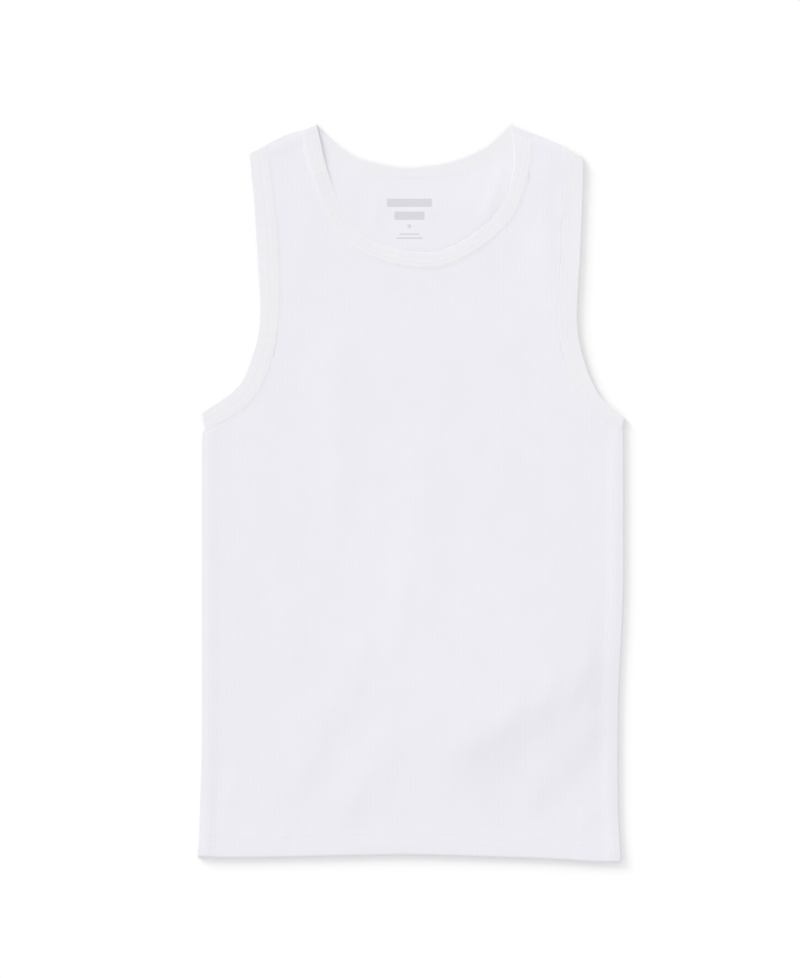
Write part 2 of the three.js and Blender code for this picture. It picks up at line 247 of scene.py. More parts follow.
@dataclass(frozen=True)
class Fold:
    """One soft ridge, or a trough where its height is negative, in millimetres.

    Seen from its start, left_width is how far it spreads to its left, and right_width to its right.
    """

    from_x: float
    from_drop: float
    to_x: float
    to_drop: float
    left_width: float
    right_width: float
    height: float

    def lift(self, x: Array, y: Array) -> Array:
        """Height over the plan: a bell across the line, which fades out past its two ends.

        Args:
            x: Plan x of the points.
            y: Plan y of the points.

        Returns:
            The fold's height at each point.
        """
        start = np.array([self.from_x, SIZES.top - self.from_drop])
        along = np.array([self.to_x, SIZES.top - self.to_drop]) - start
        length = float(np.hypot(*along))
        along = along / length
        ahead = (x - start[0]) * along[0] + (y - start[1]) * along[1]
        aside = (x - start[0]) * along[1] - (y - start[1]) * along[0]
        beyond = np.maximum(0.0, np.maximum(-ahead, ahead - length))
        width = np.where(aside > 0, self.right_width, self.left_width)
        reach = min(self.left_width, self.right_width)
        return self.height * np.exp(-((aside / width) ** 2) - (beyond / reach) ** 2)


def by_rows(*rows: Row) -> tuple[Fold, ...]:
    """One fold for each row, with the values in the order of its fields."""
    return tuple(Fold(*row) for row in rows)


# The folds of the upper layer: the large ones, then small creases beside them.
FRONT_FOLDS: tuple[Fold, ...] = by_rows(
    (122, 474, 50, 520, 46, 130, 3.7),
    (124, 496, 54, 540, 14, 34, 1.1),
    (150, 524, 108, 568, 16, 32, 1.2),
    (-76, 518, -98, 570, 16, 26, 0.9),
    (-20, 545, -62, 600, 13, 22, 0.8),
    (-46, 455, -54, 505, 12, 20, 0.6),
    (-66, 200, -62, 330, 13, 16, 0.6),
    (8, 290, 14, 420, 15, 20, 0.45),
    (-108, 420, -98, 460, 10, 14, 0.4),
    (-8, 395, -12, 450, 10, 12, 0.4),
    (-92, 64, -88, 108, 14, 15, 0.4),
    (112, 44, 115, 130, 12, 16, 0.6),
    (131, 64, 131, 76, 5, 5, 0.2),
    (-88, 6, -80, 40, 14, 11, 0.4),
    (92, 6, 96, 34, 22, 20, -0.3),
    (97, 500, 74, 528, 5, 7, 0.35),
    (122, 486, 108, 516, 5, 7, 0.25),
    (152, 466, 138, 500, 6, 9, 0.35),
    (158, 524, 176, 518, 6, 8, 0.4),
    (88, 548, 62, 562, 4, 5, 0.35),
    (142, 556, 112, 574, 5, 6, 0.4),
    (130, 522, 158, 540, 4, 5, 0.3),
    (172, 588, 150, 604, 5, 6, 0.45),
    (-96, 556, -78, 548, 4, 6, 0.3),
    (-30, 586, -8, 592, 4, 6, 0.35),
    (-150, 560, -162, 600, 6, 7, 0.2),
    (-120, 590, -110, 616, 6, 6, 0.3),
)
# The folds of the back where it shows inside the neck.
BACK_FOLDS: tuple[Fold, ...] = by_rows(
    (14, 40, 7, 74, 12, 7, 1.0),
    (24, 64, 14, 86, 5, 6, 0.35),
    (-28, 62, -32, 86, 5, 6, 0.3),
    (76, 44, 66, 78, 5, 6, 0.4),
)


def smooth_step(value: Array, low: float, high: float) -> Array:
    """0 below low, 1 above high, and a smooth cubic between."""
    t = np.clip((value - low) / (high - low), 0.0, 1.0)
    return t * t * (3 - 2 * t)


def smooth_curve(rows: Array, places: Array) -> Array:
    """Points of the smooth curve that passes through rows, a cubic between each two of them.

    Args:
        rows: The points that it passes through, one a row.
        places: Where to take points, from 0 at the first row to 1 at the last.

    Returns:
        One point for each place.
    """
    last = len(rows) - 1
    place = np.clip(places, 0, 1) * last
    i = np.minimum(place.astype(int), last - 1)
    f = (place - i)[:, None]
    before, a, b, after = rows[np.maximum(i - 1, 0)], rows[i], rows[i + 1], rows[np.minimum(i + 2, last)]
    out, into = (b - before) / 2, (after - a) / 2
    return (2 * a - 2 * b + out + into) * f**3 + (3 * b - 3 * a - 2 * out - into) * f**2 + out * f + a


def plan(rows: Sequence[Row]) -> Array:
    """Table rows of x and drop pairs as plan points, with y up."""
    points = np.array(rows, float)
    points[:, 1::2] = SIZES.top - points[:, 1::2]
    return points


def line_through(rows: Array, count: int = 240) -> Array:
    """A fine line of points along the smooth curve through rows."""
    return smooth_curve(rows, np.linspace(0, 1, count))


def spaced_evenly(line: Array, step: float) -> Array:
    """The line's points again, about step apart along it, with both ends kept."""
    along = distance_along(line)
    at = np.linspace(0, along[-1], max(2, round(along[-1] / step) + 1))
    return np.stack([np.interp(at, along, line[:, k]) for k in range(line.shape[1])], axis=1)


def distance_to(line: Array, x: Array, y: Array) -> Array:
    """Shortest plan distance from each point to a line of segments.

    Args:
        line: The line's points.
        x: Plan x of the points.
        y: Plan y of the points.

    Returns:
        The distance of each point.
    """
    nearest = np.full(x.shape, np.inf)
    for (ax, ay), (bx, by) in zip(line[:-1], line[1:]):
        dx, dy = bx - ax, by - ay
        t = np.clip(((x - ax) * dx + (y - ay) * dy) / max(dx * dx + dy * dy, 1e-9), 0, 1)
        nearest = np.minimum(nearest, np.hypot(x - ax - t * dx, y - ay - t * dy))
    return nearest


def height_over(line: Array) -> Line:
    """The y of a line as a function of x, for a line that never turns back in x."""
    order = np.argsort(line[:, 0])
    return partial(np.interp, xp=line[order, 0], fp=line[order, 1])


def reach_over(line: Array) -> Line:
    """The x of a line as a function of y, for a line that never turns back in y."""
    order = np.argsort(line[:, 1])
    return partial(np.interp, xp=line[order, 1], fp=line[order, 0])


def in_stretches(x: Array, ends: Row, middle: Line, sides: tuple[Line, Line]) -> Array:
    """The y of the middle line between two ends, and of the line on that side beyond them.

    Args:
        x: Where to take it.
        ends: The x of both ends, the left one first.
        middle: The y of the middle line as a function of x.
        sides: The same for the lines on the left and on the right.

    Returns:
        The y at each x.
    """
    return np.where(x <= ends[0], sides[0](x), np.where(x >= ends[1], sides[1](x), middle(x)))


def quarter_round(inwards: Array, radius: float) -> Array:
    """Height of a quarter circle of radius 1: 0 at an edge, and 1 from the radius inwards."""
    return np.sqrt(1 - (1 - np.clip(inwards / radius, 0, 1)) ** 2)


def stitch_dents(place: Array, lines: Sequence[float], depth: float) -> Array:
    """Depth of the channels where the needle thread pulls the cloth in: a bell across each line."""
    return sum(depth * np.exp(-(((place - line) / SIZES.dent_width) ** 2)) for line in lines)


def unit(vectors: Array) -> Array:
    """Vectors of length 1, along the last axis."""
    return vectors / np.linalg.norm(vectors, axis=-1, keepdims=True)


def distance_along(points: Array) -> Array:
    """Distance of each point of a line from its start, along the line."""
    return np.concatenate([[0], np.cumsum(np.linalg.norm(np.diff(points, axis=0), axis=1))])


# Where folds rise, in from a side.
FOLD_RISE: Row = (-2, 30)
# Where the front's settling fades, out from the neck seam, and where it comes in, by drop.
SETTLE_FADE: Row = (12, 90)
SETTLE_DROPS: Row = (20, 100)
# Where the back's bulge rises, in from the opening's edge, and how far in it reaches.
BULGE_RISE: Row = (-9, 0)
BULGE_REACH = 75.0
# Where the bulge rises, out from the back's own neck seam.
BULGE_SEAM: Row = (-6, 34)
# Where the back comes off the floor, in from the opening's edge.
LIE_RISE: Row = (-12, -1)
# Half the soft step above the hem.
HEM_SOFT = 10.0


class Pattern:
    """The plan lines of the laid garment, and the heights that its layers lie at."""

    def __init__(self) -> None:
        """Works out every plan line once."""
        self.arm_left = self._lapped(ARMHOLE_LEFT)
        self.arm_right = self._lapped(ARMHOLE_RIGHT)
        self.neck_front = self._lapped(NECK_FRONT)
        self.neck_back = self._lapped(NECK_BACK)
        self.neck_opening = line_through(plan(NECK_FRONT)[:, :2])
        self.shoulder_left = self._shoulder(self.arm_left[0], SHOULDER_LEFT, self.neck_front[0])
        self.shoulder_right = self._shoulder(self.neck_front[-1], SHOULDER_RIGHT, self.arm_right[0])
        self.side_left, self.side_right, self.hem = (
            line_through(plan(rows), 80) for rows in (SIDE_LEFT, SIDE_RIGHT, HEM)
        )
        self.hem_y = height_over(self.hem)
        self.shift = self._shift()
        for side, way in ((self.side_left, -1), (self.side_right, 1)):
            side[:, 0] += way * SIZES.side_spread
        self.left_x = reach_over(self.side_left)
        self.right_x = reach_over(self.side_right)

    @staticmethod
    def _lapped(rows: tuple[Row, ...]) -> Array:
        """A panel's seam line, which laps under the band there."""
        points = plan(rows)
        across = unit(points[:, :2] - points[:, 2:])
        return line_through(points[:, 2:] + across * SIZES.seam_lap)

    def _shift(self) -> Array:
        """From the pattern's plan to the frame: the frame's origin is the middle of the garment's box."""
        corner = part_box("front_panel")[0]
        right = corner[0] / MM - self.side_left[:, 0].min()
        up = corner[1] / MM - self.hem[:, 1].min()
        return np.array([right, up, 0.0])

    @staticmethod
    def _shoulder(first: Array, middle: Row, last: Array) -> Array:
        """A shoulder's line through its two seam corners and the place between them."""
        return line_through(np.array([first, [middle[0], SIZES.top - middle[1]], last]), 40)

    def front_lift(self, x: Array, y: Array) -> Array:
        """How far the upper layer stands above its own flat height: folds, and settling at the neck.

        Below the shoulders the neck's edge lies on the back with no band between, so it settles there.
        """
        folds = sum((fold.lift(x, y) for fold in FRONT_FOLDS), np.zeros_like(x))
        folds = folds * smooth_step(np.minimum(x - self.left_x(y), self.right_x(y) - x), *FOLD_RISE)
        near = 1 - smooth_step(distance_to(self.neck_front[::6], x, y), *SETTLE_FADE)
        return folds - SIZES.neck_settle * near * smooth_step(SIZES.top - y, *SETTLE_DROPS)

    def back_lift(self, x: Array, y: Array) -> Array:
        """How far the back bulges up inside the neck opening, with its folds.

        It comes up under the front neckband, stands a small step below the band's edge all round the
        opening, and runs down from there to its own neck seam.
        """
        s = SIZES
        inward = self._into_opening(x, y)
        level = s.band_top - NECK_CROWN - s.opening_step - s.panel_wall - s.back_lie + self.front_lift(x, y)
        fade = smooth_step(inward, *BULGE_RISE) * (1 - np.clip(inward / BULGE_REACH, 0, 1))
        folds = sum((fold.lift(x, y) for fold in BACK_FOLDS), np.zeros_like(x))
        from_seam = distance_to(self.neck_back[::4], x, y)
        return (level + folds) * fade * smooth_step(from_seam, *BULGE_SEAM) + self.neck_lie(x, y)

    def neck_lie(self, x: Array, y: Array) -> Array:
        """How far the back and its neckband lie above the floor round the opening, on their own seams."""
        return SIZES.back_lie * smooth_step(self._into_opening(x, y), *LIE_RISE)

    def _into_opening(self, x: Array, y: Array) -> Array:
        """Distance from the neck opening's edge, negative outside it. At each x it spans one stretch of y."""
        edge = self.neck_opening
        widest = int(edge[:, 0].argmax())
        low = np.interp(x, edge[: widest + 1, 0], edge[: widest + 1, 1])
        inside = (y > low) & (x > edge[0, 0]) & (x < edge[widest, 0])
        away = distance_to(edge[::3], x, y)
        return np.where(inside, away, -away)

    def hem_share(self, x: Array, y: Array) -> Array:
        """1 inside the turned up hem and 0 above it, with a soft step between."""
        above = y - self.hem_y(x) - SIZES.hem_depth
        return 1 - smooth_step(above, -HEM_SOFT, HEM_SOFT)


def grid_quads(rows: int, columns: int, ring: bool = False) -> Array:
    """Corner numbers of the faces of a grid of points.

    Args:
        rows: How many rows of points there are.
        columns: How many points a row has.
        ring: True if the last row joins the first, and the last column the first column.

    Returns:
        One row of four corners for each face.
    """
    r = np.arange(rows if ring else rows - 1)[:, None]
    c = np.arange(columns if ring else columns - 1)[None, :]
    r2, c2 = (r + 1) % rows, (c + 1) % columns
    corners = [r * columns + c, r * columns + c2, r2 * columns + c2, r2 * columns + c]
    return np.stack([np.broadcast_to(k, (r.size, c.size)).ravel() for k in corners], axis=1)


def make_piece(
    name: str, points: Array, faces: Array, uv: Array, material: bpy.types.Material
) -> bpy.types.Object:
    """A smooth mesh object from whole arrays, with the points that meet at a pole merged.

    Args:
        name: The piece's name.
        points: Its points in the frame, in millimetres.
        faces: Four corner numbers for each face.
        uv: A place on the cloth for each point, in metres.
        material: Its finish.

    Returns:
        The new object, at the origin of the frame.
    """
    mesh = bpy.data.meshes.new(name)
    mesh.vertices.add(len(points))
    mesh.vertices.foreach_set("co", (points * MM).astype(np.float32).ravel())
    mesh.loops.add(faces.size)
    mesh.loops.foreach_set("vertex_index", faces.astype(np.int32).ravel())
    mesh.polygons.add(len(faces))
    mesh.polygons.foreach_set("loop_start", np.arange(0, faces.size, 4, dtype=np.int32))
    mesh.polygons.foreach_set("use_smooth", np.ones(len(faces), bool))
    mesh.update(calc_edges=True)
    layer = mesh.uv_layers.new(name="cloth")
    layer.data.foreach_set("uv", uv[faces.ravel()].astype(np.float32).ravel())
    mesh.materials.append(material)
    merged = bmesh.new()
    merged.from_mesh(mesh)
    bmesh.ops.remove_doubles(merged, verts=merged.verts, dist=SAME_POINT)
    merged.to_mesh(mesh)
    merged.free()
    mesh.validate()
    piece = bpy.data.objects.new(name, mesh)
    bpy.context.scene.collection.objects.link(piece)
    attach(piece, "root")
    return piece


def cloth_area(points: Array, faces: Array) -> float:
    """Area of a set of faces in square metres, from points in millimetres."""
    a, b, c, d = (points[faces[:, k]] for k in range(4))
    doubled = np.linalg.norm(np.cross(c - a, d - b), axis=1)
    return float(doubled.sum() / 2) * MM * MM


@dataclass
class Panel:
    """Front or back: one layer of rib knit, as a closed thin wall on a grid that follows its ribs."""

    name: str
    node: str
    pattern: Pattern
    is_front: bool
    material: bpy.types.Material
    columns_per_rib: int = 5
    side_columns: Row = (0, 0.07, 0.22, 0.45)
    side_reach: float = 40.0
    sunk_share: float = 0.45
    join_slope: Row = (0.3, 7)
    join_turn: float = 2.0
    hem_rows: Row = (0, 0.1, 0.4, 0.9, 1.6, 2.6, 5, 8, 11, 13.2, 14.2, 15.2, 16.4, 17.4, 18.4, 21, 26)
    seam_rows: Row = (8, 6, 4, 2.4, 1.2, 0.8, 0.4, 0)
    shoulder_rows: Row = (18, 15, 12.5, 10, 7.5, 5, 3.2, 2, 1.3, 0.8, 0.4, 0.15, 0)
    body_rows: int = 40
    strap_rows: int = 20
    sizes: Sizes = SIZES
    outer_area: float = field(init=False, default=0.0)

    def _neck(self) -> Array:
        """The panel's own neck seam."""
        return self.pattern.neck_front if self.is_front else self.pattern.neck_back

    def _columns(self) -> Array:
        """Rib columns, each at a fixed x in the middle of the panel, with one at each key point."""
        p = self.pattern
        step = self.sizes.rib_pitch / self.columns_per_rib
        left, right = float(p.side_left[40, 0]), float(p.side_right[0, 0])
        inner = np.arange(math.ceil(left / step) + 1, math.floor(right / step)) * step
        close = np.array(self.side_columns)
        columns = np.concatenate([left + close, inner, right - close[::-1]])
        for key in self._keys():
            columns[np.abs(columns - key).argmin()] = key
        return columns

    def _keys(self) -> tuple[float, ...]:
        """The x of the corners and of the narrowest place of each armhole seam."""
        p = self.pattern
        neck = self._neck()
        return (
            float(p.arm_left[0, 0]),
            float(p.arm_left[:, 0].max()),
            float(neck[0, 0]),
            float(neck[-1, 0]),
            float(p.arm_right[:, 0].min()),
            float(p.arm_right[0, 0]),
        )

    def _warped(self, column: Array, y: Array) -> Array:
        """Plan x of a column at y: next to a side it follows the side seam, further in it is straight."""
        p = self.pattern
        left, right = float(p.side_left[40, 0]), float(p.side_right[0, 0])
        near_left = 1 - smooth_step(column, left, left + self.side_reach)
        near_right = smooth_step(column, right - self.side_reach, right)
        return column + near_left * (p.left_x(y) - left) + near_right * (p.right_x(y) - right)

    def _sheet(self) -> tuple[Array, Array, Array, Array]:
        """The panel's grid in plan, from two blocks that share a row across the chest.

        The lower block runs from the hem to the chest line and the lower armhole seams, and the upper
        one from there to the shoulders and neck. A row is at fixed distances from a block's ends and at
        even fractions between them.

        Returns:
            Column, plan x and plan y of every point, and the faces.
        """
        p = self.pattern
        columns = self._columns()
        x_left, x_right = float(p.arm_left[:, 0].max()), float(p.arm_right[:, 0].min())
        i_left, i_right = int(p.arm_left[:, 0].argmax()), int(p.arm_right[:, 0].argmin())
        ends, neck = (x_left, x_right), self._neck()
        chest = partial(np.interp, xp=ends, fp=(p.arm_left[i_left, 1], p.arm_right[i_right, 1]))
        downwards = height_over(p.arm_left[i_left:]), height_over(p.arm_right[i_right:])
        upwards = height_over(p.arm_left[: i_left + 1]), height_over(p.arm_right[: i_right + 1])
        shoulders = height_over(p.shoulder_left), height_over(p.shoulder_right)
        lower_top = partial(in_stretches, ends=ends, middle=chest, sides=downwards)
        upper_bottom = partial(in_stretches, ends=ends, middle=chest, sides=upwards)
        upper_top = partial(
            in_stretches, ends=(neck[0, 0], neck[-1, 0]), middle=height_over(neck), sides=shoulders
        )
        top, bottom = chest(columns), p.hem_y(columns)
        for _ in range(4):
            top = lower_top(self._warped(columns, top))
            bottom = p.hem_y(self._warped(columns, bottom))
        lower = self._rows(bottom, top, self.hem_rows, self.body_rows, self.seam_rows)
        close = 1e-6
        strap = (columns >= p.arm_left[0, 0] - close) & (columns <= p.arm_right[0, 0] + close)
        middle = (columns >= x_left - close) & (columns <= x_right + close)
        high = columns[strap]
        base, crest = upper_bottom(high), upper_top(high)
        upper = self._rows(base, crest, (0.0,), self.strap_rows, self.shoulder_rows)
        own = ~middle[strap]
        rows_low, rows_high = len(lower), len(upper)
        numbers = np.empty(upper.shape, int)
        numbers[0, ~own] = (rows_low - 1) * len(columns) + np.flatnonzero(middle)
        fresh = len(columns) * rows_low
        numbers[0, own] = fresh + np.arange(own.sum())
        fresh += int(own.sum())
        numbers[1:] = fresh + np.arange(upper[1:].size).reshape(rows_high - 1, -1)
        column = np.concatenate([np.tile(columns, rows_low), high[own], np.tile(high, rows_high - 1)])
        y = np.concatenate([lower.ravel(), upper[0, own], upper[1:].ravel()])
        faces = np.concatenate(
            [grid_quads(rows_low, len(columns)), numbers.ravel()[grid_quads(rows_high, len(high))]]
        )
        return column, self._warped(column, y), y, faces

    @staticmethod
    def _rows(bottom: Array, top: Array, low: Row, between: int, high: Row) -> Array:
        """Heights of the rows of a block, one row of the result for each.

        Args:
            bottom: Where each column starts.
            top: Where each column ends.
            low: Distances of the first rows from the bottom.
            between: How many rows fill the middle evenly.
            high: Distances of the last rows from the top.

        Returns:
            The y of every point, by row and column.
        """
        room = top - bottom
        squeeze = np.minimum(1.0, 0.45 * room / max(low[-1] + high[0], 1e-6))
        first = bottom + np.outer(low, squeeze)
        last = top - np.outer(high, squeeze)
        share = np.linspace(0, 1, between + 2)[1:-1, None]
        return np.concatenate([first, first[-1] + share * (last[0] - first[-1]), last])

    def _rib(self, column: Array) -> Array:
        """Height of the ribs: round backs with a narrow groove between, |sin| of the place in the rib."""
        wave = np.abs(np.sin(np.pi * column / self.sizes.rib_pitch))
        return self.sizes.rib_height * wave**0.8

    def _edges(self, x: Array, y: Array) -> dict[str, Array]:
        """Distances of each point from the panel's own edges."""
        p = self.pattern
        lap = self.sizes.seam_lap
        neck = distance_to(self._neck()[::3], x, y) - lap
        left, right = (distance_to(arm[::3], x, y) - lap for arm in (p.arm_left, p.arm_right))
        shoulder = np.minimum(*(distance_to(line[::3], x, y) for line in (p.shoulder_left, p.shoulder_right)))
        side = np.minimum(x - p.left_x(y), p.right_x(y) - x)
        side = np.where(y > p.side_left[0, 1] + 3, FAR, np.maximum(side, 0))
        return {
            "neck": neck,
            "left_arm": left,
            "right_arm": right,
            "seam": np.minimum(neck, np.minimum(left, right)),
            "join": np.minimum(side, shoulder),
            "hem": y - p.hem_y(x),
        }

    def _beside_band(self, seam: Array, stand: float, step: float) -> Array:
        """How far the cloth's right side is raised beside a band, by its distance from the seam.

        It rises over a long reach to a step below the band, rounds up at the seam, and sinks into the
        band's own thickness beyond it.

        Args:
            seam: Distance from the seam, negative under the band.
            stand: How far the band's face stands above the flat cloth.
            step: How far it stands above the cloth beside the seam.

        Returns:
            The height to add at each point.
        """
        rise = (stand - step) * (1 - smooth_step(seam, 0, self.sizes.seam_reach))
        puff = self.sunk_share * step * (1 - smooth_step(seam, 0.2, 3.6))
        return rise + puff - self.sunk_share * smooth_step(-seam, 0, self.sizes.seam_lap)

    def _front_heights(self, column: Array, x: Array, y: Array) -> tuple[Array, Array]:
        """Top and bottom height of the front: folds, ribs, allowances and hem, rounded at its edges."""
        s, p = self.sizes, self.pattern
        edges = self._edges(x, y)
        hem = p.hem_share(x, y)
        join, width = edges["join"], s.allowance_width
        allowance = s.allowance_extra * (1 - smooth_step(join, width - 5, width + 5))
        steps = {"neck": s.neck_step, "left_arm": s.left_arm_step, "right_arm": s.right_arm_step}
        each = np.stack([self._beside_band(edges[key], s.band_stand, step) for key, step in steps.items()])
        beside = np.where(edges["seam"] < 0.5, each.min(axis=0), each.max(axis=0))
        inner = s.front_inner + s.hem_extra * hem + p.front_lift(x, y)
        top = inner + s.panel_wall + s.hem_extra * hem + np.maximum(allowance, beside)
        top = top + self._ribs_near_seams(column, edges["seam"])
        top = top - stitch_dents(edges["hem"], HEM_STITCH_LINES, s.hem_dent)
        inner = inner + (s.upper_inner + 0.2 - s.front_inner) * (1 - smooth_step(edges["seam"], 0, 8))
        seam_height = s.side_seam + s.least_wall / 2
        slope, reach = self.join_slope
        sloped = top - slope * (1 - smooth_step(join, 0, reach))
        rim = seam_height + s.least_wall
        top = rim + (sloped - rim) * quarter_round(join, s.edge_radius)
        bottom = np.minimum(inner, top - s.least_wall)
        bottom = seam_height + (bottom - seam_height) * smooth_step(join, 0, self.join_turn)
        return self._rounded_hem(top, bottom, edges["hem"])

    def _back_heights(self, column: Array, x: Array, y: Array) -> tuple[Array, Array]:
        """Top and bottom height of the back, which rests on its rib backs and turns up at its joins."""
        s, p = self.sizes, self.pattern
        edges = self._edges(x, y)
        hem = p.hem_share(x, y)
        seam, join = edges["seam"], edges["join"]
        lift = p.back_lift(x, y)
        groove = s.rib_height - self._ribs_near_seams(column, seam)
        tucked = 0.4 * (1 - smooth_step(seam, -1, 2.4)) + 0.25 * smooth_step(-seam, 0, s.seam_lap)
        bottom = groove + tucked + stitch_dents(edges["hem"], HEM_STITCH_LINES, s.hem_dent) + lift
        beside = self._beside_band(seam, s.band_wall - s.panel_wall, s.back_step)
        top = s.panel_wall - s.rib_height + self._ribs_near_seams(column + s.rib_pitch / 2, seam)
        top = top + np.where(seam < 8, beside, np.maximum(s.hem_extra * hem, beside)) + lift
        seam_height = s.side_seam - s.least_wall / 2
        bottom = bottom + (seam_height - s.least_wall - bottom) * (1 - quarter_round(join, s.edge_radius))
        top = np.where(join < 6, np.minimum(top, s.panel_wall), top)
        top = seam_height + (top - seam_height) * smooth_step(join, 0, self.join_turn)
        return self._rounded_hem(top, np.minimum(bottom, top - s.least_wall / 2), edges["hem"])

    def _ribs_near_seams(self, column: Array, seam: Array) -> Array:
        """The ribs, pressed flatter where the band's allowance lies under them."""
        return self._rib(column) * (0.35 + 0.65 * smooth_step(seam, 0, 6))

    @staticmethod
    def _rounded_hem(top: Array, bottom: Array, above: Array) -> tuple[Array, Array]:
        """Both faces again, closed by a half round at the hem's folded edge."""
        middle, half = (top + bottom) / 2, (top - bottom) / 2
        half = half * np.maximum(quarter_round(above, 2.0), 0.06)
        return middle + half, middle - half

    def heights(self, column: Array, x: Array, y: Array) -> tuple[Array, Array]:
        """Top and bottom height of the wall at plan points."""
        return (self._front_heights if self.is_front else self._back_heights)(column, x, y)

    def build(self) -> bpy.types.Object:
        """The panel as a closed mesh: a top face, a bottom face and a rim between them."""
        column, x, y, faces = self._sheet()
        top, bottom = self.heights(column, x, y)
        points = np.concatenate([np.column_stack([x, y, z]) for z in (top, bottom)]) + self.pattern.shift
        under = faces[:, ::-1] + len(x)
        cloth = np.column_stack([column, y]) * MM
        uv = np.concatenate([cloth + MAP_TOP_FACE, cloth + MAP_BOTTOM_FACE])
        walls = np.concatenate([faces, under, rim_faces(faces, len(x))])
        piece = make_piece(self.name, points, walls, uv, self.material)
        self.outer_area = cloth_area(points, faces if self.is_front else under)
        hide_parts(self.node)
        return piece

    def hem_path(self, above: float) -> tuple[Array, Array]:
        """A line of stitches along the hem, on the panel's right side.

        Args:
            above: Its distance from the hem's edge.

        Returns:
            The line's points in the frame, and the way out of the cloth there.
        """
        p = self.pattern
        left, right = p.hem[0, 0] + 1.5, p.hem[-1, 0] - 0.5
        x = np.arange(left, right, 0.5)
        y = p.hem_y(x) + above
        top, bottom = self.heights(x, x, y)
        side = 1.0 if self.is_front else -1.0
        z = (top if self.is_front else bottom) + side * 0.02
        points = np.stack([x, y, z], axis=1) + p.shift
        return points, np.tile([0.0, 0.0, side], (len(x), 1))


def rim_faces(faces: Array, offset: int) -> Array:
    """Faces that join the open edges of one sheet of faces to a copy numbered offset higher."""
    starts, ends = faces.ravel(), np.roll(faces, -1, axis=1).ravel()
    key = np.minimum(starts, ends).astype(np.int64) * (faces.max() + 1) + np.maximum(starts, ends)
    _, first, uses = np.unique(key, return_index=True, return_counts=True)
    a, b = starts[first[uses == 1]], ends[first[uses == 1]]
    return np.stack([b, a, a + offset, b + offset], axis=1)


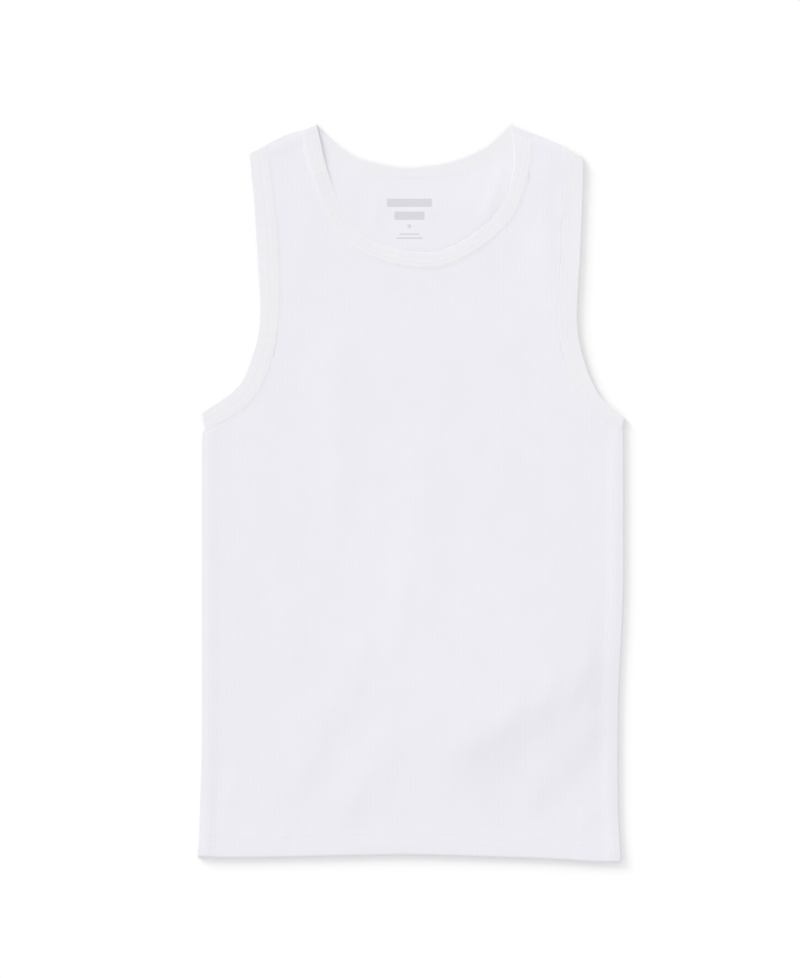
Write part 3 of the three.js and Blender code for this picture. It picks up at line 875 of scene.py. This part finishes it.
@dataclass
class Band:
    """A folded strip that binds an opening: a flattened ring, its upper half lying on its lower one."""

    name: str
    node: str
    pattern: Pattern
    upper_rows: tuple[Row, ...]
    lower_rows: tuple[Row, ...]
    material: bpy.types.Material
    stitch_lines: tuple[float, float]
    crown: float
    corner_drop: float
    join: Row | None = None
    nose: float = 0.35
    corner: float = 2.3
    step: float = 1.8
    turn_steps: int = 10
    end_room: float = 1.3
    pucker_seed: int = 3
    groove: Row = (0.3, 1.6)
    sizes: Sizes = SIZES
    outer_area: float = field(init=False, default=0.0)
    stations: dict[str, Array] = field(init=False, default_factory=dict)

    def _half(self, rows: tuple[Row, ...]) -> Array:
        """Even sections across one half of the band."""
        return spaced_evenly(line_through(plan(rows)), self.step)

    def _lay_out(self) -> None:
        """Lists every section round the ring, with its turn angle: 0 above, pi below.

        At each end the wall turns round an axis that lies in from the outline, so the flat halves stop
        there, and what lies beyond the axis is left out.
        """
        s = self.sizes
        upper, lower = self._half(self.upper_rows), self._half(self.lower_rows)
        for half in (upper, lower):
            half[:, 2:] += unit(half[:, 2:] - half[:, :2]) * s.band_over
        ends = [upper[0].copy(), upper[-1].copy()]
        outwards = [self._outward(upper[0], upper[3]), self._outward(upper[-1], upper[-4])]
        inset = [self._turn_radius(end) + s.band_wall for end in ends]
        axes = [end - np.tile(out, 2) * depth for end, out, depth in zip(ends, outwards, inset)]
        kept = []
        for half in (upper, lower):
            clear = np.ones(len(half), bool)
            for end, out, depth in zip(ends, outwards, inset):
                for k in (0, 2):
                    clear &= (end[k : k + 2] - half[:, k : k + 2]) @ out > self.end_room * depth
            kept.append(np.concatenate([[axes[0]], half[clear], [axes[1]]]))
        turn = np.linspace(0, np.pi, self.turn_steps + 1)[1:-1]
        above, below, around = len(kept[0]), len(kept[1]), (len(turn), 1)
        section = np.concatenate([kept[0], np.tile(axes[1], around), kept[1][::-1], np.tile(axes[0], around)])
        angles = [np.zeros(above), turn, np.full(below, np.pi), np.pi + turn]
        outs = [np.zeros((above, 2)), np.tile(outwards[1], around)]
        outs += [np.zeros((below, 2)), np.tile(outwards[0], around)]
        middle = (section[:, :2] + section[:, 2:]) / 2
        spacing = np.linalg.norm(np.diff(middle, axis=0), axis=1)
        spacing = np.maximum(spacing, 0.5)
        self.stations = {
            "edge": section[:, :2],
            "seam": section[:, 2:],
            "angle": np.concatenate(angles),
            "out": np.concatenate(outs),
            "along": np.concatenate([[0], np.cumsum(spacing)]),
        }

    @staticmethod
    def _outward(end: Array, further_in: Array) -> Array:
        """The plan direction out of the ring at one end, square to the section there."""
        across = end[2:] - end[:2]
        out = np.array([-across[1], across[0]]) / np.hypot(*across)
        back = end[:2] + end[2:] - further_in[:2] - further_in[2:]
        return -out if out @ back < 0 else out

    def _turn_radius(self, section: Array) -> float:
        """Inner radius of the turn at one end of the ring."""
        middle = (section[:2] + section[2:]) / 2
        lift = self.pattern.front_lift(middle[:1], middle[1:]) - self._lie(middle[:1], middle[1:])
        return (self.sizes.upper_inner + float(lift[0]) - self.sizes.lower_inner) / 2

    def _lie(self, x: Array, y: Array) -> Array:
        """How far the lower half lies above the floor at plan points."""
        return self.pattern.neck_lie(x, y) if self.lower_rows is NECK_BACK else np.zeros_like(x)

    def place(self, across: Array, through: Array) -> Array:
        """Points of the ring from their place in each section.

        A point starts on the line from edge to seam, and goes out from the inner face along the
        section's normal, which turns from up through outwards to down as the ring turns over.

        Args:
            across: Distance from the free edge, by station and point.
            through: Distance from the inner face, by station and point.

        Returns:
            Points in the frame, by station and point.
        """
        s, st = self.sizes, self.stations
        line = unit(st["seam"] - st["edge"])
        flat = st["edge"][:, None, :] + line[:, None, :] * across[..., None]
        upper = s.upper_inner + self.pattern.front_lift(flat[..., 0], flat[..., 1])
        lower = s.lower_inner + self._lie(flat[..., 0], flat[..., 1])
        radius, centre = (upper - lower) / 2, (upper + lower) / 2
        sine, cosine = np.abs(np.sin(st["angle"]))[:, None], np.cos(st["angle"])[:, None]
        flat = flat + st["out"][:, None, :] * ((radius + through) * sine)[..., None]
        z = centre + (radius + through) * cosine
        return np.concatenate([flat, z[..., None]], axis=2) + self.pattern.shift

    def _widths(self) -> Array:
        """Width of the band at each station, with what laps over the panel."""
        st = self.stations
        return np.linalg.norm(st["seam"] - st["edge"], axis=1)

    def _outer(self, from_seam: Array, width: Array) -> Array:
        """Height of the outer face over the inner one: full at the middle, drawn in at the stitches.

        Args:
            from_seam: Distance from the seam, by station and point.
            width: Width of the band at each station.

        Returns:
            The distance through the wall, by station and point.
        """
        s, st = self.sizes, self.stations
        along = st["along"][:, None]
        rng = np.random.default_rng(self.pucker_seed)
        pucker = np.zeros((len(along), 1))
        for wave, size in zip(rng.uniform(5, 16, 7), rng.uniform(0.004, 0.014, 7)):
            pucker = pucker + size * np.sin(2 * np.pi * along / wave + rng.uniform(0, 6.3))
        crown = self.crown * (1 - smooth_step(width - from_seam, 0, 9))
        dents = stitch_dents(from_seam, self.stitch_lines, s.band_dent)
        height = s.band_wall - crown - dents + np.minimum(pucker, 0.06) - 0.06
        return height - self._join_groove()[:, None]

    def _join_groove(self) -> Array:
        """Depth of the narrow groove where the strip's two ends are sewn together, at each station."""
        st = self.stations
        if self.join is None:
            return np.zeros(len(st["along"]))
        middle = (st["edge"] + st["seam"]) / 2
        away = np.hypot(middle[:, 0] - self.join[0], middle[:, 1] - (self.sizes.top - self.join[1]))
        away = np.where(st["angle"] == 0, away, FAR)
        depth, reach = self.groove
        return depth * np.exp(-((away / reach) ** 2))

    def build(self) -> bpy.types.Object:
        """The band as a closed ring: outer face, round free edge, inner face and seam side."""
        self._lay_out()
        s, st = self.sizes, self.stations
        width = self._widths()[:, None]
        radius, corner = self.nose, self.corner
        share = np.linspace(0, 1, 16)[None, :] ** 0.9
        outer_from_seam = corner + share * (width - radius - corner)
        outer = self._outer(outer_from_seam, width)
        turn = np.linspace(np.pi / 2, -np.pi / 2, 7)[None, 1:-1]
        edge_across = radius - radius * np.cos(turn) + 0 * width
        edge_through = outer[:, -1:] / 2 * (1 + np.sin(turn))
        inner_across = radius + np.linspace(0, 1, 9)[None, :] * (width - radius - corner)
        inner_through = stitch_dents(width - inner_across, self.stitch_lines, s.band_dent) + 0 * width
        fall = np.array([[0, 0.3, 0.6, 0.82, 0.93, 1.0]])
        side_across = width - corner * (1 - fall[:, 1:])
        inner_drop = 0.09 * fall[:, 1:] ** 2 + 0 * width
        outer_drop = outer[:, :1] - self.corner_drop * fall[:, :0:-1] ** 2
        sides = [side_across, side_across[:, ::-1]]
        across = np.concatenate([width - outer_from_seam, edge_across, inner_across, *sides], axis=1)
        through = np.concatenate([outer, edge_through, inner_through, inner_drop, outer_drop], axis=1)
        points = self.place(across, through)
        stations, count = across.shape
        faces = grid_quads(stations, count, ring=True)
        flat = points.reshape(-1, 3)
        if signed_volume(flat, faces) < 0:
            faces = faces[:, ::-1]
        loop = np.cumsum(np.abs(np.diff(across, axis=1, prepend=across[:, :1])), axis=1)
        along = np.repeat(st["along"][:, None], count, axis=1)
        uv = np.stack([loop, along], axis=2) * MM + 0.02
        piece = make_piece(self.name, flat, faces, uv.reshape(-1, 2), self.material)
        self.outer_area = cloth_area(flat, faces) / 2
        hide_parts(self.node)
        return piece

    def stitch_path(self, from_seam: float) -> tuple[Array, Array]:
        """A closed line of stitches round the band's outer face.

        Args:
            from_seam: Its distance from the seam.

        Returns:
            The line's points in the frame, and the way out of the cloth there.
        """
        width = self._widths()[:, None]
        across = width - from_seam
        outer = self._outer(np.full_like(across, from_seam), width)
        points = self.place(across, outer)[:, 0]
        below = self.place(across, outer - 0.5)[:, 0]
        out = (points - below) / 0.5
        return np.concatenate([points, points[:1]]), np.concatenate([out, out[:1]])


def signed_volume(points: Array, faces: Array) -> float:
    """Volume inside closed faces, negative where they point inwards."""
    a, b, c, d = (points[faces[:, k]] for k in range(4))
    return float((a * np.cross(b, c)).sum() + (a * np.cross(c, d)).sum()) / 6


@dataclass
class Stitching:
    """Needle thread on one piece's right side: one short, low arch after another, as one mesh."""

    name: str
    material: bpy.types.Material
    sizes: Sizes = SIZES
    stations: int = 6
    sides: int = 4
    gap: float = 0.35
    points: list[Array] = field(default_factory=list)
    faces: list[Array] = field(default_factory=list)
    count: int = 0

    def run(self, path: Array, out: Array) -> None:
        """Adds stitches along a line.

        Each stitch is a tube round an arc of the line. Its middle stands clear of the cloth by half
        the thread, and its ends go down into it. It has four sides, so one face closes each end.

        Args:
            path: Points of the line in the frame.
            out: The way out of the cloth at each of them.
        """
        s = self.sizes
        along = distance_along(path)
        number = int(along[-1] / s.stitch_length)
        start = np.arange(number) * (along[-1] / number)
        share = np.linspace(0, 1, self.stations)
        at = start[:, None] + share[None, :] * (along[-1] / number - self.gap)
        centre = np.stack([np.interp(at, along, path[:, k]) for k in range(3)], axis=2)
        normal = np.stack([np.interp(at, along, out[:, k]) for k in range(3)], axis=2)
        normal, ahead = unit(normal), unit(np.gradient(centre, axis=1))
        side = np.cross(normal, ahead)
        rise = (s.thread_radius * (1.9 * np.sin(np.pi * share) ** 0.6 - 1.5))[None, :, None]
        centre = centre + normal * rise
        angle = np.linspace(0, 2 * np.pi, self.sides, endpoint=False)
        ring = (
            side[:, :, None, :] * np.cos(angle)[None, None, :, None]
            + normal[:, :, None, :] * np.sin(angle)[None, None, :, None]
        )
        thick = s.thread_radius * (0.55 + 0.45 * np.sin(np.pi * share) ** 0.5)
        tube = centre[:, :, None, :] + ring * thick[None, :, None, None]
        per_stitch = self.stations * self.sides
        j = np.arange(self.stations - 1)[:, None]
        k = np.arange(self.sides)[None, :]
        here, there = j * self.sides, (j + 1) * self.sides
        k2 = (k + 1) % self.sides
        quads = np.stack([here + k, here + k2, there + k2, there + k], axis=2).reshape(-1, 4)
        ends = np.stack([k[0, ::-1], k[0] + (self.stations - 1) * self.sides])
        quads = np.concatenate([quads, ends])
        quads = quads[None] + (np.arange(number) * per_stitch)[:, None, None] + self.count
        self.points.append(tube.reshape(-1, 3))
        self.faces.append(quads.reshape(-1, 4))
        self.count += number * per_stitch

    def build(self) -> bpy.types.Object:
        """All runs as one piece."""
        points, faces = np.concatenate(self.points), np.concatenate(self.faces)
        uv = points[:, :2] * MM + MAP_TOP_FACE
        piece = make_piece(self.name, points, faces, uv, self.material)
        return piece


# Socket types of the node groups.
NUMBER = "NodeSocketFloat"
VECTOR = "NodeSocketVector"
# Width of a printed bar's soft outline, in metres.
PRINT_SOFT = 0.0003


class Nodes:
    """Shorthand for placing and joining the nodes of one tree."""

    def __init__(self, tree: bpy.types.NodeTree) -> None:
        """Takes over an empty tree."""
        self.tree = tree

    def add(self, kind: str, **values: object) -> bpy.types.Node:
        """A new node with attributes set by name."""
        node = self.tree.nodes.new(kind)
        for name, value in values.items():
            setattr(node, name, value)
        return node

    def link(self, source: bpy.types.NodeSocket, target: bpy.types.NodeSocket) -> None:
        """Joins two sockets."""
        self.tree.links.new(source, target)

    def parts(self, vector: bpy.types.NodeSocket) -> Sequence[bpy.types.NodeSocket]:
        """The x, y and z of a vector."""
        node = self.add("ShaderNodeSeparateXYZ")
        self.link(vector, node.inputs[0])
        return node.outputs

    def within(self, value: bpy.types.NodeSocket) -> bpy.types.NodeSocket:
        """A value kept between 0 and 1."""
        return self.math("MINIMUM", self.math("MAXIMUM", value, 0.0), 1.0)

    def rounded(self, value: bpy.types.NodeSocket) -> bpy.types.NodeSocket:
        """A value made rounder at its top, and kept from falling below 0."""
        return self.math("POWER", self.math("MAXIMUM", value, 0.0), 0.6)

    def math(self, operation: str, *inputs: object) -> bpy.types.NodeSocket:
        """The result of a Math node whose inputs are sockets or numbers."""
        node = self.add("ShaderNodeMath", operation=operation)
        for socket, value in zip(node.inputs, inputs):
            if isinstance(value, bpy.types.NodeSocket):
                self.link(value, socket)
            else:
                socket.default_value = value
        return node.outputs[0]


def new_group(
    name: str, inputs: dict[str, tuple[str, object]], outputs: Sequence[str]
) -> tuple[Nodes, dict[str, bpy.types.NodeSocket], dict[str, bpy.types.NodeSocket]]:
    """A shader node group with named sockets.

    Args:
        name: The group's name.
        inputs: Socket type and default value of each input.
        outputs: Names of the outputs, which are all numbers.

    Returns:
        The group's nodes, its input sockets and the sockets that its outputs take.
    """
    tree = bpy.data.node_groups.new(name, "ShaderNodeTree")
    for key, (kind, value) in inputs.items():
        socket = tree.interface.new_socket(key, in_out="INPUT", socket_type=kind)
        if value is not None:
            socket.default_value = value
    for key in outputs:
        tree.interface.new_socket(key, in_out="OUTPUT", socket_type=NUMBER)
    nodes = Nodes(tree)
    source, target = nodes.add("NodeGroupInput"), nodes.add("NodeGroupOutput")
    given = {key: source.outputs[key] for key in inputs}
    return nodes, given, {key: target.inputs[key] for key in outputs}


def knit_group() -> bpy.types.NodeTree:
    """Loops of plain knit: two slanted legs in each wale, as a height, and the shade between them."""
    nodes, given, wanted = new_group(
        "knit_loops",
        {"Vector": (VECTOR, None), "Wale": (NUMBER, 0.001), "Course": (NUMBER, 0.0008)},
        ("Height", "Shade"),
    )
    over, up, _ = nodes.parts(given["Vector"])
    wale = nodes.math("FRACT", nodes.math("DIVIDE", over, given["Wale"]))
    course = nodes.math("DIVIDE", up, given["Course"])
    from_middle = nodes.math("ABSOLUTE", nodes.math("SUBTRACT", wale, 0.5))
    leg_place = nodes.math("ABSOLUTE", nodes.math("SUBTRACT", from_middle, 0.25))
    leg = nodes.rounded(nodes.math("SUBTRACT", 1.0, nodes.math("MULTIPLY", leg_place, 4.0)))
    slanted = nodes.math("FRACT", nodes.math("ADD", course, nodes.math("MULTIPLY", from_middle, 1.6)))
    loop = nodes.rounded(nodes.math("SINE", nodes.math("MULTIPLY", slanted, math.pi)))
    height = nodes.math("MULTIPLY", leg, loop)
    nodes.link(height, wanted["Height"])
    nodes.link(nodes.math("SUBTRACT", 1.0, height), wanted["Shade"])
    return nodes.tree


def fuzz_group() -> bpy.types.NodeTree:
    """Short loose fibres and slight unevenness of the yarn, as a height and a slow mottle."""
    nodes, given, wanted = new_group(
        "cotton_fuzz",
        {"Vector": (VECTOR, None), "Fine": (NUMBER, 2600.0), "Slow": (NUMBER, 38.0)},
        ("Height", "Mottle"),
    )
    for scale, detail, result in (("Fine", 3.0, "Height"), ("Slow", 4.0, "Mottle")):
        noise = nodes.add("ShaderNodeTexNoise")
        noise.inputs["Detail"].default_value = detail
        nodes.link(given["Vector"], noise.inputs["Vector"])
        nodes.link(given[scale], noise.inputs["Scale"])
        nodes.link(noise.outputs[0], wanted[result])
    return nodes.tree


def bar_group() -> bpy.types.NodeTree:
    """A printed bar with round ends: 1 inside it and 0 outside, from its middle, half size and radius."""
    nodes, given, wanted = new_group(
        "printed_bar",
        {
            "Vector": (VECTOR, None),
            "Middle": (VECTOR, (0.0, 0.0, 0.0)),
            "Half": (VECTOR, (0.01, 0.002, 0.0)),
            "Radius": (NUMBER, 0.001),
        },
        ("Mask",),
    )
    offset = nodes.add("ShaderNodeVectorMath", operation="SUBTRACT")
    nodes.link(given["Vector"], offset.inputs[0])
    nodes.link(given["Middle"], offset.inputs[1])
    size, place = nodes.parts(given["Half"]), nodes.parts(offset.outputs[0])
    beyond = []
    for k in range(2):
        inner = nodes.math("SUBTRACT", size[k], given["Radius"])
        past = nodes.math("SUBTRACT", nodes.math("ABSOLUTE", place[k]), inner)
        beyond.append(nodes.math("MAXIMUM", past, 0.0))
    squares = nodes.math("ADD", *(nodes.math("MULTIPLY", b, b) for b in beyond))
    distance = nodes.math("SUBTRACT", nodes.math("SQRT", squares), given["Radius"])
    sharp = nodes.math("SUBTRACT", 0.5, nodes.math("DIVIDE", distance, PRINT_SOFT))
    nodes.link(nodes.within(sharp), wanted["Mask"])
    return nodes.tree


@dataclass(frozen=True)
class PrintBar:
    """One plain bar of the generic neck print, in frame millimetres."""

    x: float
    y: float
    half_width: float
    half_height: float


PRINT_BARS: tuple[PrintBar, ...] = (
    PrintBar(-1.8, 250.6, 19.5, 3.6),
    PrintBar(-1.8, 239.4, 13.0, 3.6),
    PrintBar(-1.8, 230.4, 1.6, 1.6),
    PrintBar(-1.8, 223.4, 8.5, 0.7),
    PrintBar(-1.8, 220.0, 11.5, 0.7),
)


@dataclass(frozen=True)
class KnitFinish:
    """The look of one cotton knit."""

    name: str
    colour: tuple[float, float, float] = (0.789, 0.78, 0.829)
    shade: float = 0.93
    wale: float = 0.00095
    course: float = 0.0008
    bump: float = 0.28
    loop_depth: float = 0.00018
    roughness: float = 0.93
    sheen: float = 0.12
    specular: float = 0.2
    sheen_roughness: float = 0.6
    groove_pitch: float = 0.0
    groove_shade: float = 0.16
    printed: bool = False
    ink_share: float = 0.42
    ink_colour: tuple[float, float, float] = (0.42, 0.42, 0.44)
    bar_corner: float = 1.2

    def material(self, groups: dict[str, bpy.types.NodeTree]) -> bpy.types.Material:
        """The finish as a material: knit loops and fuzz over the cloth's own map.

        Args:
            groups: The shared node groups by name.

        Returns:
            The new material.
        """
        material = bpy.data.materials.new(self.name)
        material.use_nodes = True
        tree = material.node_tree
        tree.nodes.clear()
        nodes = Nodes(tree)
        output, shader = nodes.add("ShaderNodeOutputMaterial"), nodes.add("ShaderNodeBsdfPrincipled")
        nodes.link(shader.outputs[0], output.inputs["Surface"])
        cloth = nodes.add("ShaderNodeUVMap", uv_map="cloth")
        loops = nodes.add("ShaderNodeGroup", node_tree=groups["knit"])
        loops.inputs["Wale"].default_value = self.wale
        loops.inputs["Course"].default_value = self.course
        fuzz = nodes.add("ShaderNodeGroup", node_tree=groups["fuzz"])
        place = nodes.add("ShaderNodeTexCoord")
        nodes.link(cloth.outputs[0], loops.inputs["Vector"])
        nodes.link(place.outputs["Object"], fuzz.inputs["Vector"])
        mix = nodes.add("ShaderNodeMix", data_type="RGBA")
        mix.inputs["A"].default_value = (*self.colour, 1)
        mix.inputs["B"].default_value = (*(self.shade * c for c in self.colour), 1)
        # Painted shade between the knit loops, and below in the rib grooves, darkens the colour.
        dark = nodes.math("MULTIPLY", loops.outputs["Shade"], 0.35)
        slow = nodes.math("MULTIPLY", nodes.math("SUBTRACT", fuzz.outputs["Mottle"], 0.5), 0.5)
        # Painted shade towards the hem joins the loops' shade and the yarn's random mottle.
        dark = nodes.math("ADD", nodes.math("ADD", dark, slow), self._painted_hem_shade(nodes, place.outputs["Object"]))
        if self.groove_pitch:
            dark = nodes.math("ADD", dark, self._groove(nodes, cloth.outputs[0]))
        nodes.link(nodes.within(dark), mix.inputs["Factor"])
        colour = mix.outputs["Result"]
        if self.printed:
            colour = self._print(nodes, groups, place.outputs["Object"], cloth.outputs[0], colour)
        nodes.link(colour, shader.inputs["Base Color"])
        bump = nodes.add("ShaderNodeBump")
        bump.inputs["Strength"].default_value = self.bump
        bump.inputs["Distance"].default_value = self.loop_depth
        fibres = nodes.math("MULTIPLY", fuzz.outputs["Height"], 0.5)
        nodes.link(nodes.math("ADD", loops.outputs["Height"], fibres), bump.inputs["Height"])
        nodes.link(bump.outputs[0], shader.inputs["Normal"])
        shader.inputs["Roughness"].default_value = self.roughness
        shader.inputs["Specular IOR Level"].default_value = self.specular
        shader.inputs["Sheen Weight"].default_value = self.sheen
        shader.inputs["Sheen Roughness"].default_value = self.sheen_roughness
        return material

    @staticmethod
    def _painted_hem_shade(nodes: Nodes, place: bpy.types.NodeSocket) -> bpy.types.NodeSocket:
        """Painted shade: the colour a little darker towards the hem, for the shade of the folds near it."""
        ramp = nodes.add("ShaderNodeMapRange", interpolation_type="SMOOTHSTEP")
        nodes.link(nodes.parts(place)[1], ramp.inputs["Value"])
        for key, value in {"From Min": 0.12, "From Max": -0.28, "To Min": 0.0, "To Max": 0.16}.items():
            ramp.inputs[key].default_value = value
        return ramp.outputs["Result"]

    def _groove(self, nodes: Nodes, cloth: bpy.types.NodeSocket) -> bpy.types.NodeSocket:
        """Extra shade in the grooves between ribs, where the cloth's map crosses a whole pitch."""
        column = nodes.math("SUBTRACT", nodes.parts(cloth)[0], MAP_TOP_FACE[0])
        phase = nodes.math("DIVIDE", column, self.groove_pitch)
        wave = nodes.math("ABSOLUTE", nodes.math("SINE", nodes.math("MULTIPLY", phase, math.pi)))
        return nodes.math("MULTIPLY", nodes.math("SUBTRACT", 1.0, wave), self.groove_shade)

    def _print(
        self,
        nodes: Nodes,
        groups: dict[str, bpy.types.NodeTree],
        place: bpy.types.NodeSocket,
        cloth: bpy.types.NodeSocket,
        colour: bpy.types.NodeSocket,
    ) -> bpy.types.NodeSocket:
        """The colour with plain grey bars on the back's inner face, the first one in the cloth's map."""
        mask: bpy.types.NodeSocket | float = 0.0
        for bar in PRINT_BARS:
            group = nodes.add("ShaderNodeGroup", node_tree=groups["bar"])
            nodes.link(place, group.inputs["Vector"])
            group.inputs["Middle"].default_value = (bar.x * MM, bar.y * MM, 0)
            group.inputs["Half"].default_value = (bar.half_width * MM, bar.half_height * MM, 0)
            group.inputs["Radius"].default_value = min(bar.half_height, self.bar_corner) * MM
            mask = nodes.math("MAXIMUM", mask, group.outputs["Mask"])
        inner = nodes.math("LESS_THAN", nodes.parts(cloth)[0], MAP_BETWEEN_FACES)
        mask = nodes.math("MULTIPLY", nodes.math("MULTIPLY", mask, inner), self.ink_share)
        ink = nodes.add("ShaderNodeMix", data_type="RGBA")
        nodes.link(mask, ink.inputs["Factor"])
        nodes.link(colour, ink.inputs["A"])
        ink.inputs["B"].default_value = (*self.ink_colour, 1)
        return ink.outputs["Result"]


@dataclass(frozen=True)
class Studio:
    """Plain floor, soft light and a camera that looks straight down."""

    picture: tuple[int, int] = (800, 978)
    scale: float = 0.866
    garment_at: tuple[float, float] = (411.5, 492.5)
    distance: float = 2.4
    sensor: float = 36.0
    floor_colour: tuple[float, float, float] = (0.92, 0.92, 0.92)
    floor_half: float = 6.0
    floor_drop: float = 0.0002
    sky: float = 0.925
    key_power: float = 1.8
    key_azimuth: float = 133.0
    key_height: float = 19.0
    key_width: float = 26.0

    def build(self) -> None:
        """Makes the floor, the lights and the camera."""
        self._floor()
        self._sky()
        self._key()
        self._camera()
        view = bpy.context.scene.view_settings
        view.view_transform = "Standard"
        view.look = "None"

    def _floor(self) -> None:
        """A wide plain sheet of card just under the garment."""
        mesh = bpy.data.meshes.new("floor")
        half = self.floor_half
        corners = [(x * half, y * half, -self.floor_drop) for x, y in ((-1, -1), (1, -1), (1, 1), (-1, 1))]
        mesh.from_pydata(corners, [], [(0, 1, 2, 3)])
        material = bpy.data.materials.new("white_card")
        material.use_nodes = True
        shader = material.node_tree.nodes["Principled BSDF"]
        shader.inputs["Base Color"].default_value = (*self.floor_colour, 1)
        shader.inputs["Roughness"].default_value = 1.0
        shader.inputs["Specular IOR Level"].default_value = 0.0
        mesh.materials.append(material)
        floor = bpy.data.objects.new("floor", mesh)
        bpy.context.scene.collection.objects.link(floor)

    def _sky(self) -> None:
        """Even white light from all round."""
        world = bpy.data.worlds.new("studio")
        world.use_nodes = True
        background = world.node_tree.nodes["Background"]
        background.inputs["Color"].default_value = (1, 1, 1, 1)
        background.inputs["Strength"].default_value = self.sky
        bpy.context.scene.world = world

    def _key(self) -> None:
        """A large soft light from the upper left of the view."""
        light = bpy.data.lights.new("key", "SUN")
        light.energy = self.key_power
        light.angle = math.radians(self.key_width)
        lamp = bpy.data.objects.new("key", light)
        azimuth, elevation = math.radians(self.key_azimuth), math.radians(self.key_height)
        towards = (
            math.cos(azimuth) * math.cos(elevation),
            math.sin(azimuth) * math.cos(elevation),
            math.sin(elevation),
        )
        lamp.rotation_mode = "QUATERNION"
        lamp.rotation_quaternion = Vector(towards).to_track_quat("Z", "Y")
        bpy.context.scene.collection.objects.link(lamp)

    def _camera(self) -> None:
        """The camera over the middle of the picture."""
        width, height = self.picture
        camera = bpy.data.cameras.new("camera")
        camera.sensor_width = self.sensor
        camera.lens = self.sensor * self.distance / (height * self.scale * MM)
        camera.clip_end = 50
        view = bpy.data.objects.new("camera", camera)
        view.location = (
            (width / 2 - self.garment_at[0]) * self.scale * MM,
            (self.garment_at[1] - height / 2) * self.scale * MM,
            self.distance,
        )
        bpy.context.scene.collection.objects.link(view)
        bpy.context.scene.camera = view


class TankTop:
    """The whole garment: two panels, three bands and their topstitching."""

    def __init__(self) -> None:
        """Makes the finishes and lays out the pieces."""
        groups = {"knit": knit_group(), "fuzz": fuzz_group(), "bar": bar_group()}
        pitch = SIZES.rib_pitch * MM
        rib = KnitFinish("white_rib_knit", groove_pitch=pitch).material(groups)
        printed = KnitFinish("white_rib_knit_printed", groove_pitch=pitch, printed=True).material(groups)
        band = KnitFinish("white_band_knit", colour=(0.793, 0.787, 0.816), wale=0.0009).material(groups)
        self.thread = KnitFinish(
            "white_thread", colour=(0.79, 0.784, 0.812), wale=0.0004, course=0.0004, bump=0.2
        ).material(groups)
        pattern = Pattern()
        self.front = Panel("front", "front_panel", pattern, True, rib)
        self.back = Panel("back", "back_panel", pattern, False, printed)
        left, right = (ARMHOLE_LEFT, ARMHOLE_LEFT), (ARMHOLE_RIGHT, ARMHOLE_RIGHT)
        self.bands = (
            Band(
                "neck_binding", "neckband", pattern, NECK_FRONT, NECK_BACK, band, (5.0, 9.0),
                crown=NECK_CROWN, corner_drop=0.27, join=NECK_JOIN,
            ),
            Band(
                "left_armhole_binding", "armhole_band_left", pattern, *left, band, (4.2, 9.4),
                crown=ARM_CROWN, corner_drop=0.26, pucker_seed=5,
            ),
            Band(
                "right_armhole_binding", "armhole_band_right", pattern, *right, band, (3.2, 7.2),
                crown=ARM_CROWN, corner_drop=0.14, pucker_seed=8,
            ),
        )

    def build(self) -> None:
        for panel in (self.front, self.back):
            piece = panel.build()
            thread = self._sew(panel.name, [panel.hem_path(line) for line in HEM_STITCH_LINES])
            self._report(piece)
        for band in self.bands:
            piece = band.build()
            thread = self._sew(band.name, [band.stitch_path(line) for line in band.stitch_lines])
            self._report(piece)

    def _sew(self, name: str, runs: Sequence[tuple[Array, Array]]) -> bpy.types.Object:
        """The topstitching of one piece, from the path and outward way of each row."""
        stitching = Stitching(f"{name}_topstitching", self.thread)
        for path, out in runs:
            stitching.run(path, out)
        thread = stitching.build()
        self._report(thread)
        return thread

    @staticmethod
    def _report(piece: bpy.types.Object) -> None:
        """Logs a piece's name and number of faces."""
        log.info("%s: %d faces", piece.name, len(piece.data.polygons))


def main() -> None:
    """Loads the frame, dresses the garment and sets the studio."""
    logging.basicConfig(level=logging.INFO, format="%(name)s: %(message)s")
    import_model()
    TankTop().build()
    Studio().build()


if __name__ == "__main__":
    main()
